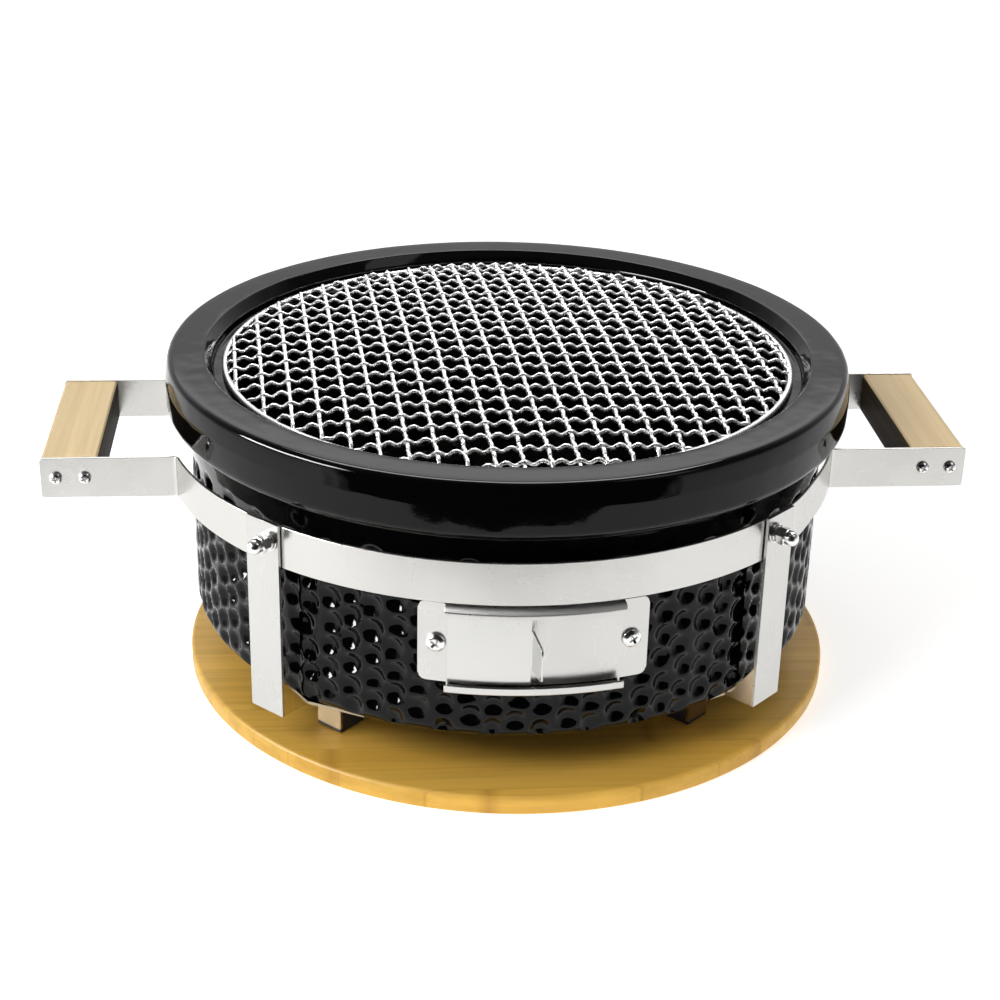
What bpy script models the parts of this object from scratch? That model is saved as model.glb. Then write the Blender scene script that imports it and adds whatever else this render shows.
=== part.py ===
"""Round ceramic tabletop charcoal grill in a steel hoop cradle, standing on a bamboo board.

Metres, +Z up. The origin is on the table, on the axis of the hoops. The loose bowl and the board
each lie a few millimetres off it.
The draft door faces -Y and the two handles lie along X. An azimuth is measured from -Y
towards +X, so a piece at azimuth A is modelled along local +X under an empty turned by A - 90.
"""

import math

import bmesh
import bpy
from mathutils import Matrix, Vector

GAP = 0.0003  # left between pieces that rest on each other
SHEET = 0.0015  # steel strip of the hoops and legs

# Bamboo board, which lies loose under the grill
BOARD_RADIUS = 0.1695
BOARD_THICKNESS = 0.0095
BOARD_CENTRE = (0.0045, -0.0025)

# Ceramic bowl
BOWL_BOTTOM = 0.034
RIM_TOP = 0.1705
WALL_RADIUS = 0.1620
BOTTOM_CORNER = 0.008
GRATE_LEDGE = 0.1611
CHARCOAL_LEDGE = 0.104
UPPER_BORE = 0.141
LOWER_BORE = 0.137
BOWL_FLOOR = 0.052
BOWL_STEPS = 60
BOWL_SHIFT = 0.0018  # along X, of the bowl and all that it carries

# Hoop halves, whose ends bend out into the handle arms
HOOP_RADIUS = 0.1725
HOOP_BOTTOM = 0.1112
HOOP_HEIGHT = 0.021
ARM_Y = 0.0518
ARM_END = 0.2304
ARM_CORNER = 0.0012
BEND_RADIUS = 0.003
SHOULDER_DROP = 0.0028  # the hoops run this much nearer the bowl beside the right arms
SHOULDER_ANGLES = (46, 60)  # azimuths between which they come nearer

# Bamboo handle bars and their screws
BAR_CENTRE = 0.2161
BAR_WIDTH = 0.0276
SCREW_SPACING = 0.014
SCREW_SHANK = 0.0017
SCREW_LENGTH = 0.020
SCREW_HEAD = 0.0031
SCREW_HEAD_HEIGHT = 0.0022

# Legs: a plate outside the hoop, a web in to the bowl, a shelf under the bowl and a tab
LEG_AZIMUTH = 43.8
LEG_HALF_WIDTH = 0.0103
LEG_FACE = HOOP_RADIUS + GAP
LEG_TOP = 0.133
LEG_BOTTOM = 0.0322
WEB_TOP = HOOP_BOTTOM - 0.0008
WEB_INNER = 0.1630
SHELF_OUTLINE = [(0.124, -0.001), (0.1576, -0.001), (0.1576, 0.0103), (0.1488, 0.039), (0.124, 0.039)]
TAB_FACE = 0.1405
TAB_BOTTOM = 0.0116

# Rubber foot blocks
FOOT_INNER = 0.124
FOOT_SIDE = 0.0002
FOOT_WIDTH = 0.0154
FOOT_SCREW_RADIUS = 0.003

# Leg bolts, M5, with a plain washer, a spring washer and an acorn nut
BOLT_SHIFT = 0.005
BOLT_HEIGHT = 0.1245
BOLT_RADIUS = 0.0025
HOLE_RADIUS = BOLT_RADIUS + GAP
WASHER_RADIUS = 0.005
WASHER_THICKNESS = 0.001
SPRING_RADIUS = 0.0045
SPRING_THICKNESS = 0.0013
NUT_HEX = 0.0046
NUT_HEX_HEIGHT = 0.004
NUT_HEIGHT = 0.0095

# Vent: a folded sheet frame with two rails, and a curved door that slides round in them
VENT_AZIMUTH = 0.37
VENT_SHEET = 0.0012
PLATE_RADIUS = 0.1629
RAIL_RADIUS = 0.1684
RAIL_HALF_ANGLE = 14.25
EAR_HALF_ANGLE = 19.0
FRAME_BOTTOM = 0.0627
FRAME_TOP = 0.1062
EAR_BOTTOM = 0.0652
LOWER_LIP = 0.0663
UPPER_LIP = 0.102
WINDOW = (-12.5, -2.0, 0.070, 0.098)
VENT_SCREW_ANGLE = 15.95
VENT_SCREW_HEIGHT = 0.0857
VENT_SCREW_RADIUS = 0.0019
VENT_HEAD_RADIUS = 0.0047
DOOR_RADIUS = 0.1652
DOOR_ANGLES = (-14.0, -0.65)
DOOR_BOTTOM = 0.0657
DOOR_TOP = 0.1048
TAB_DEPTH = 0.014
TAB_LEAN = 0.003

# Cooking grate: a domed net in a wire ring. Charcoal grate: a slotted plate
RING_RADIUS = 0.1436
RING_WIRE = 0.0016
RING_CENTRE = GRATE_LEDGE + GAP + RING_WIRE
NET_PITCH = 0.0254
NET_BAR = 0.0021
NET_TURN = 3.6
DOME_HEIGHT = 0.0113
CHARCOAL_RADIUS = 0.1398
CHARCOAL_THICKNESS = 0.004
CHARCOAL_SLOTS = 11
SLOT_PITCH = 0.022
SLOT_WIDTH = 0.011

STEEL = ("stainless_steel", (0.78, 0.77, 0.75), 0.28, 1.0)
BRIGHT = ("bright_steel", (0.85, 0.85, 0.84), 0.12, 1.0)
GLAZE = ("black_glaze", (0.012, 0.012, 0.014), 0.08, 0.0)
BAMBOO = ("handle_bamboo", (0.78, 0.60, 0.37), 0.5, 0.0)
BOARD = ("board_bamboo", (0.66, 0.42, 0.13), 0.42, 0.0)
RUBBER = ("foot_rubber", (0.02, 0.02, 0.02), 0.7, 0.0)
IRON = ("charcoal_grate_iron", (0.06, 0.06, 0.06), 0.6, 1.0)


# --- scene and materials ---------------------------------------------------------------


def start_scene():
    for obj in list(bpy.data.objects):
        bpy.data.objects.remove(obj)
    found = []
    for name in ("tabletop_grill", "cutters"):
        collection = bpy.data.collections.new(name)
        bpy.context.scene.collection.children.link(collection)
        found.append(collection)
    found[1].hide_render = True
    return found


def material(finish):
    name, colour, roughness, metallic = finish
    made = bpy.data.materials.get(name)
    if made is None:
        made = bpy.data.materials.new(name)
        made.use_nodes = True
        shader = made.node_tree.nodes["Principled BSDF"]
        shader.inputs["Base Color"].default_value = (*colour, 1)
        shader.inputs["Roughness"].default_value = roughness
        shader.inputs["Metallic"].default_value = metallic
    return made


def add_object(name, bm, finish, parent=None, smooth=True):
    """The object of a bmesh. With no finish it is a cutter, which isn't part of the grill."""
    mesh = bpy.data.meshes.new(name)
    bm.to_mesh(mesh)
    bm.free()
    obj = bpy.data.objects.new(name, mesh)
    obj.parent = parent
    if finish is None:
        obj.hide_render = True
        obj.display_type = "WIRE"
        CUTTERS.objects.link(obj)
        return obj
    mesh.materials.append(material(finish))
    if smooth:
        mesh.shade_smooth()
        mesh.set_sharp_from_angle(angle=math.radians(35))
    GRILL.objects.link(obj)
    return obj


def turned_frame(name, azimuth):
    """An empty on the bowl's axis whose +X points outwards at this azimuth."""
    empty = bpy.data.objects.new(name, None)
    empty.rotation_euler.z = math.radians(azimuth - 90)
    GRILL.objects.link(empty)
    return empty


# --- building blocks -------------------------------------------------------------------


def arc(centre_x, centre_y, radius, start, end, count):
    """Points of an arc, its angles in degrees from +X."""
    angles = [math.radians(start + (end - start) * i / count) for i in range(count + 1)]
    return [(centre_x + radius * math.cos(a), centre_y + radius * math.sin(a)) for a in angles]


def outward(radius, angle, z):
    """The point at this radius and azimuth, in the grill's own frame."""
    turn = math.radians(angle)
    return Vector((radius * math.sin(turn), -radius * math.cos(turn), z))


def steps_between(start, end, count):
    return [start + (end - start) * i / count for i in range(count)]


def turned(name, profile, steps, finish, parent=None, closed=False):
    """A turned solid from (radius, height) points that run down its outer side."""
    bm = bmesh.new()
    points = [bm.verts.new((r, 0, z)) for r, z in profile]
    for a, b in zip(points, points[1:] + points[:1] if closed else points[1:]):
        bm.edges.new((a, b))
    obj = add_object(name, bm, finish, parent)
    screw = obj.modifiers.new("turn", "SCREW")
    screw.steps = screw.render_steps = steps
    screw.use_merge_vertices = True
    screw.merge_threshold = 0.00001
    screw.use_smooth_shade = True
    return obj


def solidify(obj, thickness):
    sheet = obj.modifiers.new("sheet", "SOLIDIFY")
    sheet.thickness = thickness
    sheet.offset = 0
    sheet.use_even_offset = True
    return obj


def boolean(obj, other, operation):
    cut = obj.modifiers.new(operation.lower() + " " + other.name, "BOOLEAN")
    cut.operation = operation
    cut.solver = "EXACT"
    cut.object = other
    return obj


def bevel(obj, width, segments=1):
    edge = obj.modifiers.new("edges", "BEVEL")
    edge.width = width
    edge.segments = segments
    edge.limit_method = "ANGLE"
    return obj


def add_rod(bm, start, end, radius, sides=10):
    """A cylinder between two points."""
    start, end = Vector(start), Vector(end)
    turn = (end - start).to_track_quat("Z", "X").to_matrix().to_4x4()
    place = Matrix.Translation((start + end) / 2) @ turn
    bmesh.ops.create_cone(
        bm, cap_ends=True, segments=sides, radius1=radius, radius2=radius,
        depth=(end - start).length, matrix=place,
    )


def rod_cutter(name, rods, parent=None):
    bm = bmesh.new()
    for start, end, radius in rods:
        add_rod(bm, start, end, radius)
    return add_object(name, bm, None, parent)


def box(name, low, high, finish, parent=None):
    bm = bmesh.new()
    low, high = Vector(low), Vector(high)
    size = Matrix.Diagonal((*(high - low), 1))
    bmesh.ops.create_cube(bm, matrix=Matrix.Translation((low + high) / 2) @ size)
    return add_object(name, bm, finish, parent, smooth=False)


def round_head(radius, height, seat, count=3):
    """The half profile of a domed head that stands on height seat, top to bottom."""
    dome = [(radius * math.sin(a), seat + height * math.cos(a))
            for a in (math.pi / 2 * i / count for i in range(count + 1))]
    return [(0, dome[0][1])] + dome[1:]


def lay_outward(obj, start, towards):
    """Turns an object modelled along +Z so that its origin is at start and +Z runs towards."""
    obj.location = start
    obj.rotation_mode = "QUATERNION"
    obj.rotation_quaternion = Vector(towards).to_track_quat("Z", "X")
    return obj


# --- ceramic bowl and board ------------------------------------------------------------


def make_bowl():
    corner = arc(WALL_RADIUS - BOTTOM_CORNER, BOWL_BOTTOM + BOTTOM_CORNER, BOTTOM_CORNER, 0, -90, 3)
    profile = [
        (0, BOWL_FLOOR),
        (LOWER_BORE - 0.012, BOWL_FLOOR),
        (LOWER_BORE, BOWL_FLOOR + 0.012),
        (LOWER_BORE, CHARCOAL_LEDGE),
        (UPPER_BORE, CHARCOAL_LEDGE),
        (UPPER_BORE, GRATE_LEDGE),
        (0.1496, GRATE_LEDGE),
        (0.1500, 0.1645),
        (0.1525, 0.1685),
        (0.1570, RIM_TOP),
        (0.1680, RIM_TOP),
        (0.1708, 0.1692),
        (0.1734, 0.1620),
        (0.1736, 0.1515),
        (0.1710, 0.1465),
        (0.1672, 0.1440),
        (0.1650, 0.1380),
        (0.1626, 0.1300),
        (WALL_RADIUS, 0.1240),
        *corner,
        (0, BOWL_BOTTOM),
    ]
    bowl = turned("ceramic_bowl", profile, BOWL_STEPS, GLAZE)
    first, last, low, high = WINDOW
    middle = VENT_AZIMUTH + (first + last) / 2
    half = WALL_RADIUS * math.sin(math.radians((last - first) / 2))
    frame = turned_frame("vent_window_frame", middle)
    window = box("vent_window", (0.125, -half, low), (0.175, half, high), None, frame)
    boolean(bowl, window, "DIFFERENCE")
    holes = [
        (outward(0.125, angle, VENT_SCREW_HEIGHT), outward(0.175, angle, VENT_SCREW_HEIGHT),
         VENT_SCREW_RADIUS + GAP)
        for angle in vent_screw_azimuths()
    ]
    return boolean(bowl, rod_cutter("vent_screw_holes_in_bowl", holes), "DIFFERENCE")


def make_board():
    edge = arc(BOARD_RADIUS - 0.002, BOARD_THICKNESS - 0.002, 0.002, 90, 0, 3)
    profile = [(0, BOARD_THICKNESS), *edge, (BOARD_RADIUS, 0.0008), (BOARD_RADIUS - 0.0008, 0), (0, 0)]
    board = turned("bamboo_board", profile, BOWL_STEPS, BOARD)
    board.location.xy = BOARD_CENTRE


# --- hoops and handles -----------------------------------------------------------------


def arm_and_bend(radius):
    """The path of a right arm from its end, and the azimuth at which it meets a hoop of this radius.

    The bend is an arc that touches the arm's line and the hoop's circle from outside.
    """
    arm = ARM_Y - SHEET / 2
    bend_y = arm + BEND_RADIUS
    bend_x = math.sqrt((radius + BEND_RADIUS) ** 2 - bend_y ** 2)
    tilt = math.degrees(math.atan2(bend_y, bend_x))
    bend = arc(bend_x, -bend_y, BEND_RADIUS, 90, 180 - tilt, 3)
    return [(ARM_END, -arm), (ARM_END - ARM_CORNER, -arm), *bend], 90 - tilt


def hoop_path():
    """The middle line of the front hoop seen from above, from the right arm's end to the left's."""
    radius = HOOP_RADIUS - SHEET / 2
    right, right_end = arm_and_bend(radius - SHOULDER_DROP)
    left, left_end = arm_and_bend(radius)
    near, far = SHOULDER_ANGLES
    path = list(right)
    for azimuth in steps_between(right_end, -left_end, 32)[1:]:
        share = min(max((azimuth - near) / (far - near), 0), 1)
        x, y, _ = outward(radius - SHOULDER_DROP * share, azimuth, 0)
        path.append((x, y))
    return path + [(-x, y) for x, y in reversed(left)]


def make_hoop(name, side):
    """One half hoop with its two arms. side is 1 for the front half and -1 for the rear."""
    path = hoop_path()
    bm = bmesh.new()
    columns = []
    for i, (x, y) in enumerate(path):
        cut = ARM_CORNER if i in (0, len(path) - 1) else 0
        low, high = HOOP_BOTTOM + cut, HOOP_BOTTOM + HOOP_HEIGHT - cut
        columns.append([bm.verts.new((x, side * y, z)) for z in (low, high)])
    for (a, b), (c, d) in zip(columns, columns[1:]):
        bm.faces.new((a, c, d, b) if side > 0 else (a, b, d, c))
    hoop = solidify(add_object(name, bm, STEEL), SHEET)
    holes = []
    for x in screw_places():
        for across in (-x, x):
            reach = side * (ARM_Y + 0.004), side * (ARM_Y - 0.006)
            z = HOOP_BOTTOM + HOOP_HEIGHT / 2
            holes.append(((across, -reach[0], z), (across, -reach[1], z), SCREW_SHANK + GAP))
    for leg in LEGS:
        if (leg.front and side > 0) or (not leg.front and side < 0):
            holes.append((leg.bolt_point(0.160), leg.bolt_point(0.185), HOLE_RADIUS))
    return boolean(hoop, rod_cutter(name + "_holes", holes), "DIFFERENCE")


def screw_places():
    return [BAR_CENTRE - SCREW_SPACING / 2, BAR_CENTRE + SCREW_SPACING / 2]


def make_handles():
    half_length = ARM_Y - SHEET - GAP
    z = HOOP_BOTTOM + HOOP_HEIGHT / 2
    for side, word in ((-1, "left"), (1, "right")):
        x = side * BAR_CENTRE
        low = (x - BAR_WIDTH / 2, -half_length, HOOP_BOTTOM)
        high = (x + BAR_WIDTH / 2, half_length, HOOP_BOTTOM + HOOP_HEIGHT)
        bar = bevel(box("handle_bar_" + word, low, high, BAMBOO), 0.0012)
        holes = []
        for end, place in ((-1, "front"), (1, "rear")):
            for number, distance in enumerate(screw_places(), 1):
                screw_x = side * distance
                depth = end * (half_length - SCREW_LENGTH)
                holes.append(((screw_x, end * (half_length + 0.002), z), (screw_x, depth, z),
                              SCREW_SHANK + GAP))
                name = f"handle_screw_{place}_{word}_{number}"
                seat = end * (ARM_Y + GAP)
                make_screw(name, (screw_x, seat, z), (0, end, 0), SCREW_HEAD, SCREW_HEAD_HEIGHT,
                           SCREW_SHANK, SCREW_LENGTH, STEEL)
        boolean(bar, rod_cutter(f"handle_holes_{word}", holes), "DIFFERENCE")


def make_screw(name, seat, direction, head_radius, head_height, radius, length, finish,
               parent=None):
    """A domed screw: its head stands on seat and points along direction."""
    profile = [*round_head(head_radius, head_height, 0), (radius, 0), (radius, 0.0006 - length),
               (0, -length)]
    screw = turned(name, profile, 10, finish, parent)
    return lay_outward(screw, seat, direction)


# --- legs, feet and leg bolts ----------------------------------------------------------


class Leg:
    """One leg's place. side is +1 where its web is on the side of growing azimuth."""

    def __init__(self, name, azimuth, side):
        self.name = name
        self.azimuth = azimuth
        self.side = side
        self.front = "front" in name

    def bolt_point(self, radius):
        turn = Matrix.Rotation(math.radians(self.azimuth - 90), 3, "Z")
        return turn @ Vector((radius, self.side * BOLT_SHIFT, BOLT_HEIGHT))


LEGS = [
    Leg("front_left", -LEG_AZIMUTH, 1),
    Leg("front_right", LEG_AZIMUTH, -1),
    Leg("rear_left", LEG_AZIMUTH - 180, -1),
    Leg("rear_right", 180 - LEG_AZIMUTH, 1),
]


def slab(name, outline, depth, finish, parent):
    """A flat plate: a closed outline of points, thickened along the vector depth."""
    bm = bmesh.new()
    face = bm.faces.new([bm.verts.new(point) for point in outline])
    grown = bmesh.ops.extrude_face_region(bm, geom=[face])["geom"]
    moved = [v for v in grown if isinstance(v, bmesh.types.BMVert)]
    bmesh.ops.translate(bm, verts=moved, vec=depth)
    bmesh.ops.recalc_face_normals(bm, faces=bm.faces)
    return add_object(name, bm, finish, parent, smooth=False)


def make_leg(leg):
    """One folded sheet: plate outside the hoop, web in to the bowl, shelf under it, and tab."""
    frame = turned_frame("frame_leg_" + leg.name, leg.azimuth)
    side = leg.side
    inset = 0.00003  # keeps the faces of joined plates from lying in one plane
    wide = LEG_HALF_WIDTH
    plate = [(LEG_FACE, y, z) for y, z in ((-wide, LEG_BOTTOM), (wide, LEG_BOTTOM),
                                           (wide, LEG_TOP), (-wide, LEG_TOP))]
    sheet = slab("leg_" + leg.name, plate, (SHEET, 0, 0), STEEL, frame)
    web_x = LEG_FACE + SHEET / 2
    nearer = BOWL_SHIFT * math.sin(math.radians(leg.azimuth))
    clear = arc(WALL_RADIUS - BOTTOM_CORNER + nearer, BOWL_BOTTOM + BOTTOM_CORNER,
                BOTTOM_CORNER + 0.001, -80, 0, 4)
    web = [(x, side * (wide - inset), z) for x, z in
           [(web_x, LEG_BOTTOM + inset), (web_x, WEB_TOP), (WEB_INNER + nearer, WEB_TOP),
            *reversed(clear), (clear[0][0], LEG_BOTTOM + inset)]]
    boolean(sheet, slab("web_" + leg.name, web, (0, -side * (SHEET - inset), 0), None, frame), "UNION")
    shelf = [(x, side * y, LEG_BOTTOM) for x, y in SHELF_OUTLINE]
    boolean(sheet, slab("shelf_" + leg.name, shelf, (0, 0, SHEET), None, frame), "UNION")
    tab_y = sorted((side * FOOT_SIDE, side * (FOOT_SIDE + FOOT_WIDTH)))
    tab = box("tab_" + leg.name, (TAB_FACE - SHEET, tab_y[0], TAB_BOTTOM),
              (TAB_FACE, tab_y[1], LEG_BOTTOM + SHEET / 2), None, frame)
    boolean(sheet, tab, "UNION")
    hole = rod_cutter("bolt_hole_" + leg.name,
                      [((0.165, side * BOLT_SHIFT, BOLT_HEIGHT),
                        (0.185, side * BOLT_SHIFT, BOLT_HEIGHT), HOLE_RADIUS)], frame)
    boolean(sheet, hole, "DIFFERENCE")
    make_foot(leg, frame, tab_y)
    make_leg_bolt(leg, frame)


def make_foot(leg, frame, tab_y):
    top = LEG_BOTTOM - GAP
    bottom = BOARD_THICKNESS + GAP
    foot = box("foot_block_" + leg.name, (FOOT_INNER, tab_y[0], bottom),
               (TAB_FACE - SHEET - GAP, tab_y[1], top), RUBBER, frame)
    lip = box("foot_lip_" + leg.name, (FOOT_INNER + 0.002, tab_y[0], bottom),
              (TAB_FACE, tab_y[1], TAB_BOTTOM - GAP), None, frame)
    boolean(foot, lip, "UNION")
    y = leg.side * FOOT_SIDE
    inwards = leg.side
    place = (0.1355, y - inwards * GAP, 0.0185)
    end = (0.1355, y + inwards * 0.0105, 0.0185)
    hole = rod_cutter("foot_hole_" + leg.name,
                      [((0.1355, y - inwards * 0.002, 0.0185), end, 0.0015 + GAP)], frame)
    boolean(foot, hole, "DIFFERENCE")
    make_screw("foot_screw_" + leg.name, place, (0, -inwards, 0), FOOT_SCREW_RADIUS, 0.0038,
               0.0015, 0.010, BRIGHT, frame)


def ring(name, inner, outer, thickness, finish, parent, steps=14):
    profile = [(inner, 0), (inner, thickness), (outer, thickness), (outer, 0)]
    return turned(name, profile, steps, finish, parent, closed=True)


def make_leg_bolt(leg, frame):
    """Head inside the hoop, then the hoop and leg plate, two washers and the acorn nut."""
    y = leg.side * BOLT_SHIFT
    head_seat = HOOP_RADIUS - SHEET - 0.0008
    washer = LEG_FACE + SHEET + GAP
    spring = washer + WASHER_THICKNESS + GAP
    nut = spring + SPRING_THICKNESS + GAP
    tip = nut + NUT_HEIGHT - 0.0035
    profile = [(0, tip), (BOLT_RADIUS, tip), (BOLT_RADIUS, head_seat), (0.0052, head_seat),
               (0.0044, head_seat - 0.002), (0, head_seat - 0.0028)]
    bolt = turned("leg_bolt_" + leg.name, profile, 12, BRIGHT, frame)
    lay_outward(bolt, (0, y, BOLT_HEIGHT), (1, 0, 0))
    plain = ring("plain_washer_" + leg.name, HOLE_RADIUS, WASHER_RADIUS, WASHER_THICKNESS,
                 BRIGHT, frame)
    lay_outward(plain, (washer, y, BOLT_HEIGHT), (1, 0, 0))
    make_spring_washer(leg, frame, (spring, y, BOLT_HEIGHT))
    make_acorn_nut(leg, frame, (nut, y, BOLT_HEIGHT))


def make_spring_washer(leg, frame, place):
    """A square wire ring with a slit."""
    bm = bmesh.new()
    section = [(HOLE_RADIUS, 0), (SPRING_RADIUS, 0), (SPRING_RADIUS, SPRING_THICKNESS),
               (HOLE_RADIUS, SPRING_THICKNESS)]
    face = bm.faces.new([bm.verts.new((r, 0, z)) for r, z in section])
    bmesh.ops.spin(bm, geom=[face, *face.edges, *face.verts], cent=(0, 0, 0), axis=(0, 0, 1),
                   angle=math.radians(340), steps=12)
    bmesh.ops.recalc_face_normals(bm, faces=bm.faces)
    washer = add_object("spring_washer_" + leg.name, bm, BRIGHT, frame)
    lay_outward(washer, place, (1, 0, 0))


def make_acorn_nut(leg, frame, place):
    dome = round_head(0.0037, NUT_HEIGHT - NUT_HEX_HEIGHT, NUT_HEX_HEIGHT)
    profile = [*dome, (0.0037, 0.001), (HOLE_RADIUS, 0.001), (HOLE_RADIUS, NUT_HEIGHT - 0.003),
               (0, NUT_HEIGHT - 0.003)]
    nut = turned("acorn_nut_" + leg.name, profile, 12, BRIGHT, frame)
    lay_outward(nut, place, (1, 0, 0))
    bm = bmesh.new()
    half = NUT_HEX_HEIGHT / 2
    bmesh.ops.create_cone(bm, cap_ends=True, segments=6, radius1=NUT_HEX, radius2=NUT_HEX,
                          depth=NUT_HEX_HEIGHT, matrix=Matrix.Translation((0, 0, half)))
    hexagon = add_object("hexagon_" + leg.name, bm, None, frame)
    lay_outward(hexagon, place, (1, 0, 0))
    bore = rod_cutter("nut_bore_" + leg.name,
                      [((place[0] - 0.001, place[1], place[2]),
                        (place[0] + NUT_HEX_HEIGHT + 0.001, place[1], place[2]), HOLE_RADIUS)],
                      frame)
    boolean(hexagon, bore, "DIFFERENCE")
    boolean(nut, hexagon, "UNION")


# --- vent frame and draft door ---------------------------------------------------------


def vent_screw_azimuths():
    return [VENT_AZIMUTH - VENT_SCREW_ANGLE, VENT_AZIMUTH + VENT_SCREW_ANGLE]


def sheet_grid(bm, angles, section, keep):
    """Faces of a sheet bent round the bowl: columns at angles, rows at section (radius, z)."""
    rows = [[bm.verts.new(outward(r, VENT_AZIMUTH + a, z)) for r, z in section] for a in angles]
    for i, (here, there) in enumerate(zip(rows, rows[1:])):
        for j in range(len(section) - 1):
            if keep(i, j):
                bm.faces.new((here[j], there[j], there[j + 1], here[j + 1]))
    loose = [v for v in bm.verts if not v.link_faces]
    bmesh.ops.delete(bm, geom=loose, context="VERTS")
    return rows


def make_vent_frame():
    first, last, low, high = WINDOW
    ears = [-EAR_HALF_ANGLE, -EAR_HALF_ANGLE + 0.6, (-EAR_HALF_ANGLE - RAIL_HALF_ANGLE) / 2]
    angles = [
        *ears, -RAIL_HALF_ANGLE,
        *steps_between(first, last, 4), *steps_between(last, RAIL_HALF_ANGLE, 6),
        RAIL_HALF_ANGLE, *[-a for a in reversed(ears)],
    ]
    section = [
        (RAIL_RADIUS, LOWER_LIP), (RAIL_RADIUS, FRAME_BOTTOM), (PLATE_RADIUS, FRAME_BOTTOM),
        (PLATE_RADIUS, EAR_BOTTOM), (PLATE_RADIUS, low), (PLATE_RADIUS, high),
        (PLATE_RADIUS, FRAME_TOP), (RAIL_RADIUS, FRAME_TOP), (RAIL_RADIUS, UPPER_LIP),
    ]
    ear_columns = (0, 1, 2, len(angles) - 4, len(angles) - 3, len(angles) - 2)

    def keep(i, j):
        in_window = first - 0.01 < angles[i] and angles[i + 1] < last + 0.01 and j == 4
        in_slot = j == 2 and first - 0.01 < angles[i] and angles[i + 1] < RAIL_HALF_ANGLE - 2
        return not (in_window or in_slot) and (j in (3, 4, 5) or i not in ear_columns)

    bm = bmesh.new()
    rows = sheet_grid(bm, angles, section, keep)
    for column in (0, -1):
        rows[column][3].co.z += 0.0022
        rows[column][6].co.z -= 0.0022
    frame = solidify(add_object("vent_frame", bm, STEEL), VENT_SHEET)
    holes = [(outward(0.158, a, VENT_SCREW_HEIGHT), outward(0.168, a, VENT_SCREW_HEIGHT),
              VENT_SCREW_RADIUS + GAP) for a in vent_screw_azimuths()]
    boolean(frame, rod_cutter("vent_screw_holes_in_frame", holes), "DIFFERENCE")


def make_vent_screws():
    seat = PLATE_RADIUS + VENT_SHEET / 2 + GAP
    nut_seat = LOWER_BORE - 0.0006
    for word, angle in zip(("left", "right"), vent_screw_azimuths()):
        make_screw("vent_screw_" + word, outward(seat, angle, VENT_SCREW_HEIGHT),
                   outward(1, angle, 0), VENT_HEAD_RADIUS, 0.0024, VENT_SCREW_RADIUS, 0.031, BRIGHT)
        bm = bmesh.new()
        bmesh.ops.create_cone(bm, cap_ends=True, segments=6, radius1=0.004, radius2=0.004,
                              depth=0.003, matrix=Matrix.Translation((0, 0, -0.0015)))
        nut = add_object("vent_nut_" + word, bm, BRIGHT, smooth=False)
        lay_outward(nut, outward(nut_seat, angle, VENT_SCREW_HEIGHT), outward(1, angle, 0))
        bore = rod_cutter("vent_nut_bore_" + word,
                          [(outward(0.128, angle, VENT_SCREW_HEIGHT),
                            outward(0.141, angle, VENT_SCREW_HEIGHT), VENT_SCREW_RADIUS + GAP)])
        boolean(nut, bore, "DIFFERENCE")


def make_draft_door():
    """A curved sheet whose free edge is folded out into a finger tab."""
    first, last = DOOR_ANGLES
    angles = [*steps_between(first, last, 6), last]
    heights = [DOOR_BOTTOM, 0.0744, 0.0942, DOOR_TOP]
    bm = bmesh.new()
    rows = sheet_grid(bm, angles, [(DOOR_RADIUS, z) for z in heights], lambda i, j: True)
    out = outward(1, VENT_AZIMUTH + last, 0)
    across = Vector((-out.y, out.x, 0))
    root = [rows[-1][1], rows[-1][2]]
    tip = []
    for vert, drop in zip(root, (0.0008, -0.0022)):
        place = vert.co + out * TAB_DEPTH + across * TAB_LEAN
        tip.append(bm.verts.new(place + Vector((0, 0, drop))))
    bm.faces.new((root[0], tip[0], tip[1], root[1]))
    solidify(add_object("draft_door", bm, STEEL), VENT_SHEET)


# --- grates ----------------------------------------------------------------------------


def wire_ring(name, radius, wire, z, steps, finish):
    section = [(radius + x, z + y) for x, y in reversed(arc(0, 0, wire, 0, 360, 6)[:-1])]
    return turned(name, section, steps, finish, closed=True)


def make_cooking_grate():
    """A domed net of crossing bars, cut round and joined to its wire ring."""
    cells = 12
    bm = bmesh.new()
    turn = Matrix.Rotation(math.radians(NET_TURN), 4, "Z")
    bmesh.ops.create_grid(bm, x_segments=cells, y_segments=cells, size=cells * NET_PITCH / 2,
                          matrix=turn)
    bmesh.ops.inset_individual(bm, faces=bm.faces[:], thickness=NET_BAR / 2)
    holes = [f for f in bm.faces if f.calc_area() > (NET_PITCH - 2 * NET_BAR) ** 2]
    bmesh.ops.delete(bm, geom=holes, context="FACES")
    for vert in bm.verts:
        reach = min(vert.co.xy.length / RING_RADIUS, 1.1)
        vert.co.z = RING_CENTRE + DOME_HEIGHT * (1 - reach ** 2)
    net = solidify(add_object("cooking_grate", bm, STEEL, smooth=False), NET_BAR)
    bm = bmesh.new()
    add_rod(bm, (0, 0, GRATE_LEDGE - 0.01), (0, 0, RIM_TOP + 0.02), RING_RADIUS, 48)
    boolean(net, add_object("net_outline", bm, None), "INTERSECT")
    ring_wire = wire_ring("net_ring", RING_RADIUS, RING_WIRE, RING_CENTRE, 48, None)
    boolean(net, ring_wire, "UNION")


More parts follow.
